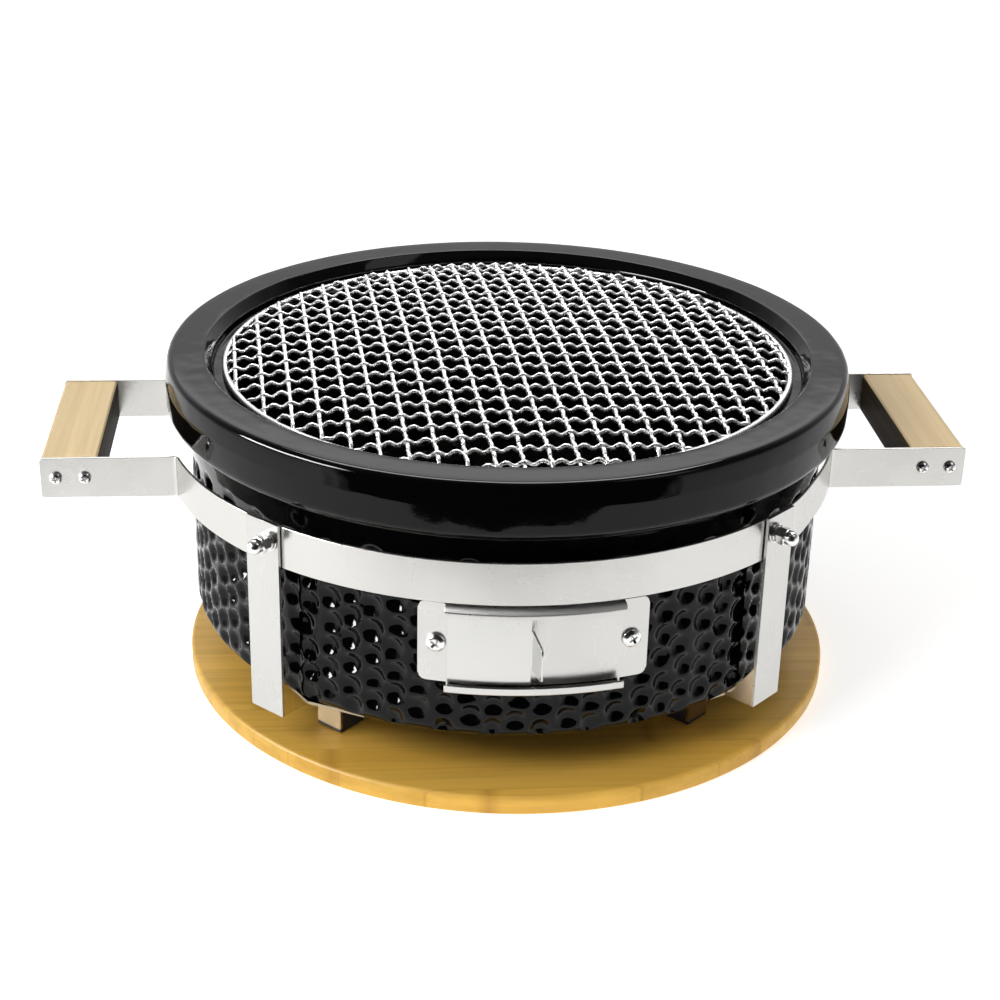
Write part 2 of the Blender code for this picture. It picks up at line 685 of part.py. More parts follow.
def make_charcoal_grate():
    """A cast plate with rows of slots either side of a middle rib."""
    bottom = CHARCOAL_LEDGE + GAP
    top = bottom + CHARCOAL_THICKNESS
    profile = [(0, top), (CHARCOAL_RADIUS, top), (CHARCOAL_RADIUS, bottom), (0, bottom)]
    grate = turned("charcoal_grate", profile, 48, IRON)
    bm = bmesh.new()
    for i in range(CHARCOAL_SLOTS):
        x = (i - (CHARCOAL_SLOTS - 1) / 2) * SLOT_PITCH
        end = math.sqrt((CHARCOAL_RADIUS - 0.012) ** 2 - x ** 2)
        for side in (-1, 1):
            size = Matrix.Diagonal((SLOT_WIDTH, end - SLOT_PITCH / 4, 0.02, 1))
            middle = Vector((x, side * (end + SLOT_PITCH / 4) / 2, top))
            bmesh.ops.create_cube(bm, matrix=Matrix.Translation(middle) @ size)
    boolean(grate, add_object("charcoal_slots", bm, None), "DIFFERENCE")


GRILL, CUTTERS = start_scene()
make_board()
make_hoop("front_hoop", 1)
make_hoop("rear_hoop", -1)
make_handles()
for place in LEGS:
    make_leg(place)
unshifted = set(bpy.data.objects)
make_bowl()
make_vent_frame()
make_vent_screws()
make_draft_door()
make_cooking_grate()
make_charcoal_grate()
for made in set(bpy.data.objects) - unshifted:
    if made.parent is None:
        made.location.x += BOWL_SHIFT
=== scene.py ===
"""The looks of the tabletop grill: glaze, steel, bamboo and wire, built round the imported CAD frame.

Metres, +Z up. The origin is on the table, on the axis of the hoops. An azimuth is in degrees, from -Y
towards +X.
"""

import math

import bmesh
import bpy
import numpy as np
from mathutils import Matrix, Vector, noise


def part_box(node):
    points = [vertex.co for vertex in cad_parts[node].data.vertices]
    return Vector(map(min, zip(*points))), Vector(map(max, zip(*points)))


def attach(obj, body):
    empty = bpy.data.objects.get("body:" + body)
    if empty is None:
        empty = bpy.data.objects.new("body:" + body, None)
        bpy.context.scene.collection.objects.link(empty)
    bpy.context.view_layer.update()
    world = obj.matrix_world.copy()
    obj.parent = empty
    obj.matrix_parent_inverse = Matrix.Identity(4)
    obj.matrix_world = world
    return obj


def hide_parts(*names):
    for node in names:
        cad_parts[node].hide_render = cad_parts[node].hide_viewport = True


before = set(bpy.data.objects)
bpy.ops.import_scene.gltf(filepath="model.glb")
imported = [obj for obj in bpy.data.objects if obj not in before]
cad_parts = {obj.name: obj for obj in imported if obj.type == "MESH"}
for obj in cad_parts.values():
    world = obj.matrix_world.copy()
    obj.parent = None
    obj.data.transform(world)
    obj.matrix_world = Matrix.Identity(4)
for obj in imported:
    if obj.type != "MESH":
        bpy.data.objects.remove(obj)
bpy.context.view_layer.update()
RNG = np.random.default_rng(7)

# --- places read from the frame ---

BOWL_LOW, BOWL_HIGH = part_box("ceramic_bowl")
GRATE_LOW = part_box("cooking_grate")[0]
HOOP_LOW, HOOP_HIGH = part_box("front_hoop")
BOARD_LOW, BOARD_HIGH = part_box("bamboo_board")
RIM_TOP = BOWL_HIGH.z
RIM_RADIUS = (BOWL_HIGH.x - BOWL_LOW.x) / 2
# the bowl stands a little off the hoops' axis
BOWL_PLACE = Matrix.Translation(((BOWL_LOW.x + BOWL_HIGH.x) / 2, 0, 0))
HOOP_RADIUS = -HOOP_LOW.y
GAP = 0.0003  # between pieces that rest on each other
STRIP = 0.0015  # thickness of the hoops' and the legs' sheet
ARM_Y = 0.0518  # outer face of the handle arms
LEG_AZIMUTHS = {"front_left": -43.8, "front_right": 43.8, "rear_left": -136.2, "rear_right": 136.2}
# the side of its leg on which a web stands: 1 is towards growing azimuth
WEB_SIDES = {"front_left": 1, "front_right": -1, "rear_left": -1, "rear_right": 1}
VIEW_TURN = -5.034  # the azimuth, in degrees, from which the camera looks

# --- geometry helpers ---


def outward(radius, azimuth, z):
    """The point at this radius, azimuth and height."""
    turn = math.radians(azimuth)
    return Vector((radius * math.sin(turn), -radius * math.cos(turn), z))


def arc(centre_x, centre_y, radius, start, end, count):
    """Points on an arc between two angles in degrees."""
    angles = [math.radians(start + (end - start) * i / count) for i in range(count + 1)]
    return [(centre_x + radius * math.cos(a), centre_y + radius * math.sin(a)) for a in angles]


def rounded(corners, count=6):
    """A polyline in which each corner (x, y, radius) is replaced by an arc."""
    points = []
    for i, (x, y, radius) in enumerate(corners):
        here = Vector((x, y))
        if radius == 0 or i in (0, len(corners) - 1):
            points.append((x, y))
            continue
        before = (Vector(corners[i - 1][:2]) - here).normalized()
        after = (Vector(corners[i + 1][:2]) - here).normalized()
        half = before.angle(after) / 2
        reach = radius / math.tan(half)
        centre = here + (before + after).normalized() * (radius / math.sin(half))
        first = here + before * reach - centre
        turn = (here + after * reach - centre).angle_signed(first)
        for step in range(count + 1):
            angle = turn * step / count
            spun = Matrix.Rotation(angle, 2) @ first
            points.append(tuple(centre + spun))
    return points


def mesh_of(name, bm):
    """Turns a bmesh into a mesh."""
    mesh = bpy.data.meshes.new(name)
    bm.to_mesh(mesh)
    bm.free()
    return mesh


def linked(name, data):
    """A new object in the scene."""
    obj = bpy.data.objects.new(name, data)
    bpy.context.scene.collection.objects.link(obj)
    return obj


def add_piece(name, data, body, replaced=(), material=None):
    """Puts a mesh or bmesh in the scene as a piece that rides on a body and stands for CAD nodes."""
    if isinstance(data, bmesh.types.BMesh):
        data = mesh_of(name, data)
    obj = linked(name, data)
    if material is not None:
        data.materials.clear()
        data.materials.append(material)
    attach(obj, body)
    if replaced:
        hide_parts(*replaced)
    return obj


def on_bowl(obj):
    """Moves a piece modelled round the bowl's own axis to where the bowl stands."""
    obj.data.transform(BOWL_PLACE)
    return obj


def evaluated_mesh(obj):
    """A new mesh of what the object looks like with its modifiers."""
    graph = bpy.context.evaluated_depsgraph_get()
    return bpy.data.meshes.new_from_object(obj.evaluated_get(graph))


def bake(obj):
    """Applies the object's modifiers."""
    made = evaluated_mesh(obj)
    obj.modifiers.clear()
    obj.data = made
    return obj


def shade(obj, angle=40):
    """Smooth faces, with a sharp edge wherever they turn by more than this angle."""
    obj.data.shade_smooth()
    obj.data.set_sharp_from_angle(angle=math.radians(angle))
    return obj


def modifier(obj, kind, **settings):
    """Adds a modifier of this kind with these settings."""
    made = obj.modifiers.new(kind.lower(), kind)
    for key, value in settings.items():
        setattr(made, key, value)
    return made


def soften(obj, width, segments=2, angle=30):
    """Rounds every edge that turns by more than this angle."""
    modifier(obj, "BEVEL", width=width, segments=segments, limit_method="ANGLE",
             angle_limit=math.radians(angle), harden_normals=False)
    return level_normals(shade(bake(obj), 50))


def level_normals(obj):
    """Large faces keep their own normal, so that only the narrow rounded edges shade as curved."""
    modifier(obj, "WEIGHTED_NORMAL", keep_sharp=True, weight=50, mode="FACE_AREA")
    return bake(obj)


def refined(name, node, body, material, width, segments=2):
    """The CAD node's solid with every edge rounded."""
    bm = bmesh.new()
    bm.from_mesh(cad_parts[node].data)
    bmesh.ops.remove_doubles(bm, verts=bm.verts, dist=0.000002)
    bmesh.ops.dissolve_limit(bm, angle_limit=math.radians(1), verts=bm.verts, edges=bm.edges)
    return soften(add_piece(name, bm, body, [node], material), width, segments)


def grid_faces(bm, points, keep=None):
    """Quads over a grid of points, which is a list of rows."""
    rows = [[bm.verts.new(p) for p in row] for row in points]
    for i in range(len(rows) - 1):
        for j in range(len(rows[0]) - 1):
            if keep is None or keep(i, j):
                bm.faces.new((rows[i][j], rows[i + 1][j], rows[i + 1][j + 1], rows[i][j + 1]))
    loose = [v for v in bm.verts if not v.link_faces]
    bmesh.ops.delete(bm, geom=loose, context="VERTS")
    return rows


def turned_mesh(bm, profile, steps, place=None):
    """A turned solid in a bmesh: profile is (radius, height) points, top to bottom, closed at the axis."""
    place = place or Matrix.Identity(4)
    rings = []
    for radius, height in profile:
        if radius < 1e-7:
            rings.append([bm.verts.new(place @ Vector((0, 0, height)))])
            continue
        rings.append([
            bm.verts.new(place @ Vector((radius * math.cos(a), radius * math.sin(a), height)))
            for a in (2 * math.pi * i / steps for i in range(steps))
        ])
    for upper, lower in zip(rings, rings[1:]):
        for i in range(steps):
            j = (i + 1) % steps
            if len(upper) == 1 and len(lower) == 1:
                continue
            if len(upper) == 1:
                bm.faces.new((upper[0], lower[i], lower[j]))
            elif len(lower) == 1:
                bm.faces.new((upper[j], upper[i], lower[0]))
            else:
                bm.faces.new((upper[i], lower[i], lower[j], upper[j]))
    return rings


def direction_place(origin, towards):
    """A matrix that carries +Z to the direction towards, at origin."""
    turn = Vector(towards).to_track_quat("Z", "Y").to_matrix().to_4x4()
    return Matrix.Translation(Vector(origin)) @ turn


def cut(obj, cutter, operation="DIFFERENCE"):
    """Applies a Boolean and deletes the cutter."""
    modifier(obj, "BOOLEAN", operation=operation, solver="EXACT", object=cutter)
    bake(obj)
    data = cutter.data
    bpy.data.objects.remove(cutter)
    bpy.data.meshes.remove(data)
    return obj


def loose_object(name, bm):
    """A working object made of a bmesh, which isn't a piece."""
    bmesh.ops.recalc_face_normals(bm, faces=bm.faces)
    return linked(name, mesh_of(name, bm))


# --- materials ---


class Nodes:
    """Adds nodes to a tree. A socket or a plain value can go in any input."""

    def __init__(self, tree):
        self.tree = tree

    def node(self, kind, inputs=None, **settings):
        made = self.tree.nodes.new("ShaderNode" + kind)
        for key, value in settings.items():
            setattr(made, key, value)
        for key, value in (inputs or {}).items():
            if isinstance(value, bpy.types.NodeSocket):
                self.tree.links.new(value, made.inputs[key])
            else:
                made.inputs[key].default_value = value
        return made

    def noise(self, where, scale, detail=2.0, rough=0.5):
        made = self.node("TexNoise", {"Vector": where, "Scale": scale, "Detail": detail,
                                      "Roughness": rough})
        return made.outputs["Fac"]

    def ramp(self, factor, *stops):
        made = self.node("ValToRGB", {"Fac": factor})
        elements = made.color_ramp.elements
        while len(elements) < len(stops):
            elements.new(0.5)
        for element, (position, colour) in zip(elements, stops):
            element.position = position
            element.color = (*colour, 1) if hasattr(colour, "__len__") else (colour,) * 3 + (1,)
        return made.outputs["Color"]

    def mix(self, factor, a, b, blend="MIX"):
        made = self.node("Mix", {0: factor, 6: a, 7: b}, data_type="RGBA", blend_type=blend)
        return made.outputs[2]

    def math(self, operation, a, b=0.0):
        return self.node("Math", {0: a, 1: b}, operation=operation).outputs[0]

    def bump(self, height, distance, strength=1.0, normal=None):
        inputs = {"Height": height, "Distance": distance, "Strength": strength}
        if normal is not None:
            inputs["Normal"] = normal
        return self.node("Bump", inputs).outputs["Normal"]


class Shader(Nodes):
    """A Principled material and the nodes that feed it."""

    def __init__(self, name, **values):
        self.material = bpy.data.materials.new(name)
        self.material.use_nodes = True
        super().__init__(self.material.node_tree)
        self.surface = self.tree.nodes["Principled BSDF"]
        for key, value in values.items():
            self.surface.inputs[key.replace("_", " ")].default_value = value

    def feed(self, socket, output):
        self.tree.links.new(output, self.surface.inputs[socket])

    def place(self, scale=(1, 1, 1)):
        """Object coordinates in metres, stretched by scale."""
        where = self.node("TexCoord").outputs["Object"]
        return self.node("Mapping", {"Vector": where, "Scale": scale}).outputs["Vector"]


def glaze():
    """Black glaze that has run a little and holds fine grit."""
    s = Shader("black_glaze", Base_Color=(0.0012, 0.0012, 0.0014, 1), IOR=1.28)
    where = s.place()
    flow = s.noise(where, 42, 2)
    grit = s.noise(where, 900, 2)
    s.feed("Roughness", s.ramp(grit, (0.35, 0.035), (0.8, 0.10)))
    wave = s.bump(flow, 0.0007, 0.35)
    s.feed("Normal", s.bump(grit, 0.00003, 0.25, wave))
    return s.material


def brushed_steel(name, stretch, colour, low, high):
    """Sheet steel whose brush marks run where stretch is small."""
    s = Shader(name, Metallic=1.0)
    lines = s.noise(s.place(stretch), 1.0, 4, 0.6)
    cloud = s.noise(s.place(), 18, 3)
    tone = tuple(c * 0.93 for c in colour)
    s.feed("Base Color", s.mix(cloud, (*colour, 1), (*tone, 1)))
    blend = s.math("ADD", s.math("MULTIPLY", lines, 0.08), s.math("MULTIPLY", cloud, 0.92))
    s.feed("Roughness", s.ramp(blend, (0.3, low), (0.7, high)))
    s.feed("Normal", s.bump(lines, 0.00002, 0.012))
    return s.material


def polished_steel(name, colour, low, high, scale):
    """Smooth steel whose shine varies in smears of this scale."""
    s = Shader(name, Metallic=1.0)
    smear = s.noise(s.place(), scale, 3)
    tone = tuple(c * 0.9 for c in colour)
    s.feed("Base Color", s.mix(smear, (*colour, 1), (*tone, 1)))
    s.feed("Roughness", s.ramp(smear, (0.3, low), (0.75, high)))
    s.feed("Normal", s.bump(s.noise(s.place(), 60, 1), 0.0002, 0.15))
    return s.material


def bamboo(name, along, across, strip, light, dark, knot, rough, contrast, gloss, fine=260.0, lines=0.55):
    """Laminated bamboo: strips side by side, long fibres and darker joints across some strips.

    Fibres run along one axis and the strips, of this width, lie across another. contrast is the difference
    between strips, fine the fibres per metre and lines how strongly the fibres show.
    """
    s = Shader(name, Coat_Weight=gloss / 4, Coat_Roughness=0.25, Specular_IOR_Level=gloss)
    where = s.node("SeparateXYZ", {0: s.place()})
    run = where.outputs[along]
    side = where.outputs[across]
    position = s.math("DIVIDE", s.math("ADD", side, 1.0), strip)
    number = s.math("FLOOR", position)
    tone = s.node("TexWhiteNoise", {"W": number}, noise_dimensions="1D").outputs["Value"]
    stretch = [fine, fine, fine]
    stretch["XYZ".index(along)] = 5.0
    fibre = s.noise(s.place(stretch), 1.0, 5, 0.65)
    broad = s.noise(s.place([v / 6 for v in stretch]), 1.0, 3, 0.55)
    base = s.mix(s.ramp(broad, (0.3, 0.0), (0.7, 1.0)), (*light, 1), (*dark, 1))
    shift = s.math("ADD", s.math("MULTIPLY", tone, contrast), 1 - contrast / 2)
    grey = s.node("CombineColor", {0: shift, 1: shift, 2: shift}).outputs[0]
    shifted = s.mix(1.0, base, grey, "MULTIPLY")
    lined = s.mix(s.ramp(fibre, (0.42, 0.0), (0.68, lines)), shifted, (*knot, 1))
    # a joint crosses each strip at its own place
    joint_spacing = 0.21
    phase = s.math("ADD", s.math("DIVIDE", run, joint_spacing), s.math("MULTIPLY", tone, 7.3))
    near = s.math("ABSOLUTE", s.math("SUBTRACT", s.math("FRACT", phase), 0.5))
    band = s.ramp(near, (0.0, 0.55), (0.012, 0.35), (0.03, 0.0))
    jointed = s.mix(band, lined, (*knot, 1))
    # a hair line of glue between strips
    glue = s.ramp(s.math("FRACT", position), (0.0, 0.45), (0.02, 0.0), (0.98, 0.0), (1.0, 0.45))
    s.feed("Base Color", s.mix(glue, jointed, (*knot, 1)))
    s.feed("Roughness", s.ramp(fibre, (0.3, rough - 0.06), (0.7, rough + 0.08)))
    s.feed("Normal", s.bump(fibre, 0.00006, 0.4))
    return s.material


def rough_skin(name, specular, grain, patches, dark, light, dull, relief):
    """A dark, dull skin. grain and patches are noises, dull is the span of roughness, relief the bump."""
    s = Shader(name, Specular_IOR_Level=specular)
    fine = s.noise(s.place(), *grain)
    broad = s.noise(s.place(), *patches)
    s.feed("Base Color", s.ramp(broad, (0.3, dark), (0.7, light)))
    s.feed("Roughness", s.ramp(fine, (0.3, dull[0]), (0.7, dull[1])))
    s.feed("Normal", s.bump(fine, *relief))
    return s.material


GLAZE = glaze()
STRIP_STEEL = brushed_steel("hoop_steel", (14, 14, 900), (0.63, 0.62, 0.595), 0.22, 0.32)
LEG_STEEL = brushed_steel("leg_steel", (900, 900, 14), (0.60, 0.595, 0.575), 0.22, 0.36)
VENT_STEEL = brushed_steel("vent_steel", (900, 900, 20), (0.64, 0.63, 0.61), 0.2, 0.34)
# the fold's upward faces: rougher, and lighter in colour as a painted highlight
FOLD_HIGHLIGHT_STEEL = brushed_steel("fold_steel_painted_highlight", (14, 14, 900), (0.72, 0.71, 0.69), 0.5, 0.6)
DOOR_STEEL = brushed_steel("door_steel", (900, 900, 20), (0.66, 0.655, 0.635), 0.2, 0.32)
MIRROR_STEEL = polished_steel("polished_steel", (0.82, 0.81, 0.80), 0.03, 0.09, 220)
# steel under the bowl: dark and brownish, painted shade with the board's brown reflection in it
SHADE_PAINTED_STEEL = polished_steel("steel_painted_shade", (0.40, 0.33, 0.22), 0.14, 0.24, 300)
FASTENER_STEEL = polished_steel("fastener_steel", (0.88, 0.87, 0.86), 0.16, 0.28, 500)
WIRE_STEEL = polished_steel("wire_steel", (0.93, 0.93, 0.92), 0.22, 0.36, 700)
HANDLE_BAMBOO = bamboo("handle_bamboo", "Y", "X", 0.0093, (0.84, 0.64, 0.335), (0.72, 0.52, 0.25),
                       (0.58, 0.38, 0.16), 0.42, 0.12, 0.3, 170.0, 0.4)
# the bars' faces towards the bowl: a dark copy of the bamboo that is painted shade
SHADED_BAMBOO = bamboo("bamboo_painted_shade", "Y", "Z", 0.0093, (0.060, 0.038, 0.016), (0.046, 0.028, 0.011),
                       (0.028, 0.016, 0.007), 0.6, 0.12, 0.05)
BOARD_BAMBOO = bamboo("board_bamboo", "X", "Y", 0.019, (0.84, 0.52, 0.105), (0.71, 0.40, 0.062),
                      (0.44, 0.22, 0.03), 0.4, 0.12, 0.2, 150.0, 0.38)
RUBBER = rough_skin("foot_rubber", 0.4, (1500, 3), (120, 2), (0.010, 0.010, 0.011), (0.022, 0.022, 0.023),
                    (0.5, 0.75), (0.00008, 0.5))
# the charcoal grate: near black and without shine, painted as the shade inside the bowl
SHADE_BLACK_IRON = rough_skin("cast_iron_painted_shade", 0.0, (700, 4, 0.6), (60, 3), (0.0015, 0.0015, 0.0015),
                  (0.004, 0.0035, 0.003), (0.8, 0.95), (0.0002, 0.6))

# --- bowl ---

FINE = 720  # steps round the pitted wall
COARSE = 360  # steps round the rest of the bowl
WALL_RADIUS = 0.1620
WALL_SPAN = (0.038, 0.1415)  # heights between which the wall is drawn finely
GRATE_LEDGE = 0.1611
CHARCOAL_LEDGE = 0.1040
UPPER_BORE = 0.1410
LOWER_BORE = 0.1370
BOWL_FLOOR = 0.0520
PIT_COLUMNS = 88
PIT_PITCH = 0.0124
PIT_DEPTH = 0.0028
PIT_HEIGHTS = (0.0385, 0.1255)
VENT_AZIMUTH = 0.37
WINDOW = (-12.0, -2.0, 0.070, 0.098)  # first and last azimuth, lowest and highest z


def dimples():
    """Pits in the wall as rows of (azimuth, height, half width, half height, depth)."""
    lowest, highest = PIT_HEIGHTS
    found = []
    for column in range(PIT_COLUMNS):
        shift = 0.5 * (column % 2) + RNG.uniform(-0.12, 0.12)
        for row in range(-1, 9):
            z = 0.0405 + (row + shift) * PIT_PITCH + RNG.normal(0, 0.0007)
            if not lowest < z < highest:
                continue
            azimuth = (column + 0.5) * 360 / PIT_COLUMNS + RNG.normal(0, 0.35)
            size = RNG.uniform(0.9, 1.08)
            deep = PIT_DEPTH * RNG.uniform(0.85, 1.15)
            found.append((azimuth, z, 0.0058 * size, 0.0063 * size * RNG.uniform(0.93, 1.08), deep))
    return np.array(found)


def pit_depth(pits, azimuths, z):
    """How deep the wall lies under its smooth radius at one height, for all azimuths."""
    near = pits[np.abs(pits[:, 1] - z) < 0.0068]
    depth = np.zeros(len(azimuths))
    for azimuth, height, half_width, half_height, deep in near:
        apart = (azimuths - azimuth + 180) % 360 - 180
        across = np.radians(apart) * WALL_RADIUS / half_width
        rho = across ** 2 + ((z - height) / half_height) ** 2
        pit = deep * np.clip(1 - rho, 0, None) ** 1.1
        depth = np.maximum(depth, pit) + 0.15 * np.minimum(depth, pit)
    return depth


def bowl_rows():
    """(radius, z, fine) along the bowl's section, from the underside's centre to the floor's."""
    outer = rounded([
        (0, BOWL_LOW.z, 0), (WALL_RADIUS, BOWL_LOW.z, 0.008), (WALL_RADIUS, 0.1225, 0.030),
        (0.1660, 0.1412, 0.0030), (RIM_RADIUS, 0.1450, 0.0052),
        (RIM_RADIUS, 0.1595, 0.014), (0.1718, RIM_TOP, 0.0034), (0.1538, RIM_TOP, 0.0015),
        (0.1500, 0.1650, 0.0035), (0.1496, GRATE_LEDGE, 0.0008), (UPPER_BORE, GRATE_LEDGE, 0.0012),
        (UPPER_BORE, CHARCOAL_LEDGE, 0.0010), (LOWER_BORE, CHARCOAL_LEDGE, 0.0008),
        (LOWER_BORE, BOWL_FLOOR, 0.012), (0, BOWL_FLOOR, 0),
    ], 7)
    lowest, highest = WALL_SPAN
    rows = []
    for (r0, z0), (r1, z1) in zip(outer, outer[1:]):
        on_wall = min(r0, r1) > 0.15 and lowest < (z0 + z1) / 2 < highest
        length = math.hypot(r1 - r0, z1 - z0)
        step = 0.00112 if on_wall else 0.0045 if max(r0, r1) > 0.14 else 0.03
        count = max(1, math.ceil(length / step))
        for i in range(count):
            t = i / count
            rows.append((r0 + (r1 - r0) * t, z0 + (z1 - z0) * t, on_wall))
    rows.append((0.0, BOWL_FLOOR, False))
    return rows


def inner_wall(radii):
    """The rows of the bowl's section that lie on the lower bore."""
    return [i for i, radius in enumerate(radii) if abs(radius - LOWER_BORE) < 1e-6]


def make_bowl():
    """The bowl as rings round its axis, with pits pressed in the wall and the draft window left out."""
    pits = dimples()
    rows = bowl_rows()
    low, high = WINDOW[2:]
    # the nearest rows of the outer wall and of the inner one move to the window's edges
    heights = np.array([z for _, z, _ in rows])
    radii = np.array([r for r, _, _ in rows])
    for edge in (low, high):
        outer = np.where(radii > 0.16)[0]
        heights[outer[np.argmin(np.abs(heights[outer] - edge))]] = edge
    inner = inner_wall(radii)
    for edge in (low, high):
        heights[min(inner, key=lambda i: abs(heights[i] - edge))] = edge
    bm = bmesh.new()
    rings = []
    for (radius, _, fine), z in zip(rows, heights):
        if radius < 1e-7:
            rings.append([bm.verts.new((0, 0, z))])
            continue
        count = FINE if fine else COARSE
        azimuths = np.arange(count) * 360 / count
        reach = np.full(count, radius)
        if fine:
            fade = np.clip((0.1405 - z) / 0.003, 0, 1)
            reach -= pit_depth(pits, azimuths, z) * fade
        ring = []
        for azimuth, r in zip(azimuths, reach):
            if radius > 0.148:
                # the glaze has run a little, more so under the rim
                runny = 0.00022 if 0.140 < z < 0.149 else 0.00014
                r += runny * noise.noise(outward(1, azimuth, z * 9) * 14)
            ring.append(bm.verts.new(outward(min(r, RIM_RADIUS), azimuth, z)))
        rings.append(ring)
    for k, (here, there) in enumerate(zip(rings, rings[1:])):
        middle = (heights[k] + heights[k + 1]) / 2
        radius = (radii[k] + radii[k + 1]) / 2
        in_window = low < middle < high and radius > 0.13
        join_rings(bm, here, there, WINDOW[:2] if in_window else None)
    line_window(bm, rings, heights, radii)
    bmesh.ops.recalc_face_normals(bm, faces=bm.faces)
    on_bowl(shade(add_piece("glazed_bowl", bm, "grill", ["ceramic_bowl"], GLAZE), 60))


def join_rings(bm, here, there, gap):
    """Faces between two rings of the bowl, leaving out those between the azimuths of gap."""
    count = min(len(here), len(there))
    if count == 1:
        pole, ring = (here[0], there) if len(here) == 1 else (there[0], here)
        for j in range(len(ring)):
            bm.faces.new((pole, ring[j], ring[(j + 1) % len(ring)]))
        return
    for j in range(count):
        k = (j + 1) % count
        azimuth = ((j + 0.5) * 360 / count + 180) % 360 - 180
        if gap and gap[0] < azimuth < gap[1]:
            continue
        if len(here) == len(there):
            bm.faces.new((here[j], here[k], there[k], there[j]))
        elif len(here) > len(there):
            after = here[(2 * j + 2) % len(here)]
            bm.faces.new((here[2 * j], here[2 * j + 1], after, there[k], there[j]))
        else:
            after = there[(2 * j + 2) % len(there)]
            bm.faces.new((here[j], here[k], after, there[2 * j + 1], there[2 * j]))


def line_window(bm, rings, heights, radii):
    """The reveal of the draft window, joining the outer wall's opening to the inner one's."""
    first, last, low, high = WINDOW

    def edge_loop(rows):
        rows = [i for i in rows if low - 1e-6 <= heights[i] <= high + 1e-6]
        rows.sort(key=lambda i: heights[i])
        count = len(rings[rows[0]])
        a = round(first / 360 * count)
        b = round(last / 360 * count)
        bottom = [rings[rows[0]][j % count] for j in range(a, b + 1)]
        top = [rings[rows[-1]][j % count] for j in range(a, b + 1)]
        right = [rings[i][b % count] for i in rows]
        left = [rings[i][a % count] for i in rows]
        return bottom, right, top, left

    outer = edge_loop([i for i in range(len(heights)) if radii[i] > 0.155])
    inner = edge_loop(inner_wall(radii))
    for far, near in zip(outer, inner):
        bridge(bm, far, near)


def bridge(bm, fine, coarse):
    """Faces between two chains of vertices with the same ends' order but different counts."""
    i = j = 0
    while i < len(fine) - 1 or j < len(coarse) - 1:
        ahead_fine = (i + 1) / (len(fine) - 1) if i < len(fine) - 1 else 2
        ahead_coarse = (j + 1) / (len(coarse) - 1) if j < len(coarse) - 1 else 2
        if abs(ahead_fine - ahead_coarse) < 1e-9:
            bm.faces.new((fine[i], fine[i + 1], coarse[j + 1], coarse[j]))
            i += 1
            j += 1
        elif ahead_fine < ahead_coarse:
            bm.faces.new((fine[i], fine[i + 1], coarse[j]))
            i += 1
        else:
            bm.faces.new((fine[i], coarse[j + 1], coarse[j]))
            j += 1


# --- board and handle bars ---


def make_board():
    """A round board whose edges are rounded."""
    middle = (BOARD_LOW + BOARD_HIGH) / 2
    radius = (BOARD_HIGH.y - BOARD_LOW.y) / 2
    top = BOARD_HIGH.z
    profile = rounded([(0, top, 0), (radius, top, 0.0022), (radius, 0, 0.0010), (0, 0, 0)], 5)
    bm = bmesh.new()
    turned_mesh(bm, profile, 240, Matrix.Translation((middle.x, middle.y, 0)))
    shade(add_piece("round_board", bm, "board", ["bamboo_board"], BOARD_BAMBOO))


def make_handles():
    """The two bars, whose faces towards the bowl are painted dark as shade."""
    for side, inwards in (("left", 1), ("right", -1)):
        bar = refined(f"grip_{side}", f"handle_bar_{side}", "grill", HANDLE_BAMBOO, 0.0007, 3)
        bar.data.materials.append(SHADED_BAMBOO)
        # faces that turn towards the bowl get the painted shade
        for face in bar.data.polygons:
            if face.normal.x * inwards > 0.8:
                face.material_index = 1


# --- hoops ---

BEND_RADIUS = 0.003
ARM_CORNER = 0.0014
SHOULDER_DROP = 0.0028  # the hoops run this much nearer the bowl beside the right arms
SHOULDER_ANGLES = (46, 60)  # azimuths between which they come nearer


def arm_and_bend(radius, arm):
    """The path of a right arm from its end, and the azimuth at which it meets a hoop of this radius."""
    bend_y = arm + BEND_RADIUS
    bend_x = math.sqrt((radius + BEND_RADIUS) ** 2 - bend_y ** 2)
    tilt = math.degrees(math.atan2(bend_y, bend_x))
    bend = arc(bend_x, -bend_y, BEND_RADIUS, 90, 180 - tilt, 8)
    end = HOOP_HIGH.x
    straight = [(end - s, -arm) for s in (0, 0.0002, 0.0005, 0.0012, 0.004, 0.012, 0.030)]
    return straight + bend, 90 - tilt


def hoop_path(radius, arm):
    """The middle line of the front half hoop seen from above, from the right arm's end to the left's."""
    near, far = SHOULDER_ANGLES
    right, right_end = arm_and_bend(radius - SHOULDER_DROP, arm)
    left, left_end = arm_and_bend(radius, arm)
    path = list(right)
    for azimuth in np.linspace(right_end, -left_end, 121)[1:-1]:
        share = min(max((azimuth - near) / (far - near), 0), 1)
        nearer = SHOULDER_DROP * (3 - 2 * share) * share ** 2
        path.append(tuple(outward(radius - nearer, azimuth, 0).xy))
    return path + [(-x, y) for x, y in reversed(left)]


def corner_cut(radius, from_end):
    """How much a rounded corner takes off a strip's edge at this distance from the strip's end."""
    if from_end >= radius:
        return 0
    return radius - math.sqrt(max(0, radius ** 2 - (radius - from_end) ** 2))


def bar_section(half, low, high, fillet, count):
    """A bar's cross-section, (across, up) round a rectangle with rounded corners."""
    return rounded([(0, low, 0), (half, low, fillet), (half, high, fillet), (-half, high, fillet),
                    (-half, low, fillet), (0, low, 0)], count)[:-1]


def join_loops(bm, loops):
    """Walls between neighbouring loops, and a cap at each end."""
    for here, there in zip(loops, loops[1:]):
        for j in range(len(here)):
            k = (j + 1) % len(here)
            bm.faces.new((here[j], here[k], there[k], there[j]))
    bm.faces.new(loops[0])
    bm.faces.new(loops[-1])
    bmesh.ops.recalc_face_normals(bm, faces=bm.faces)


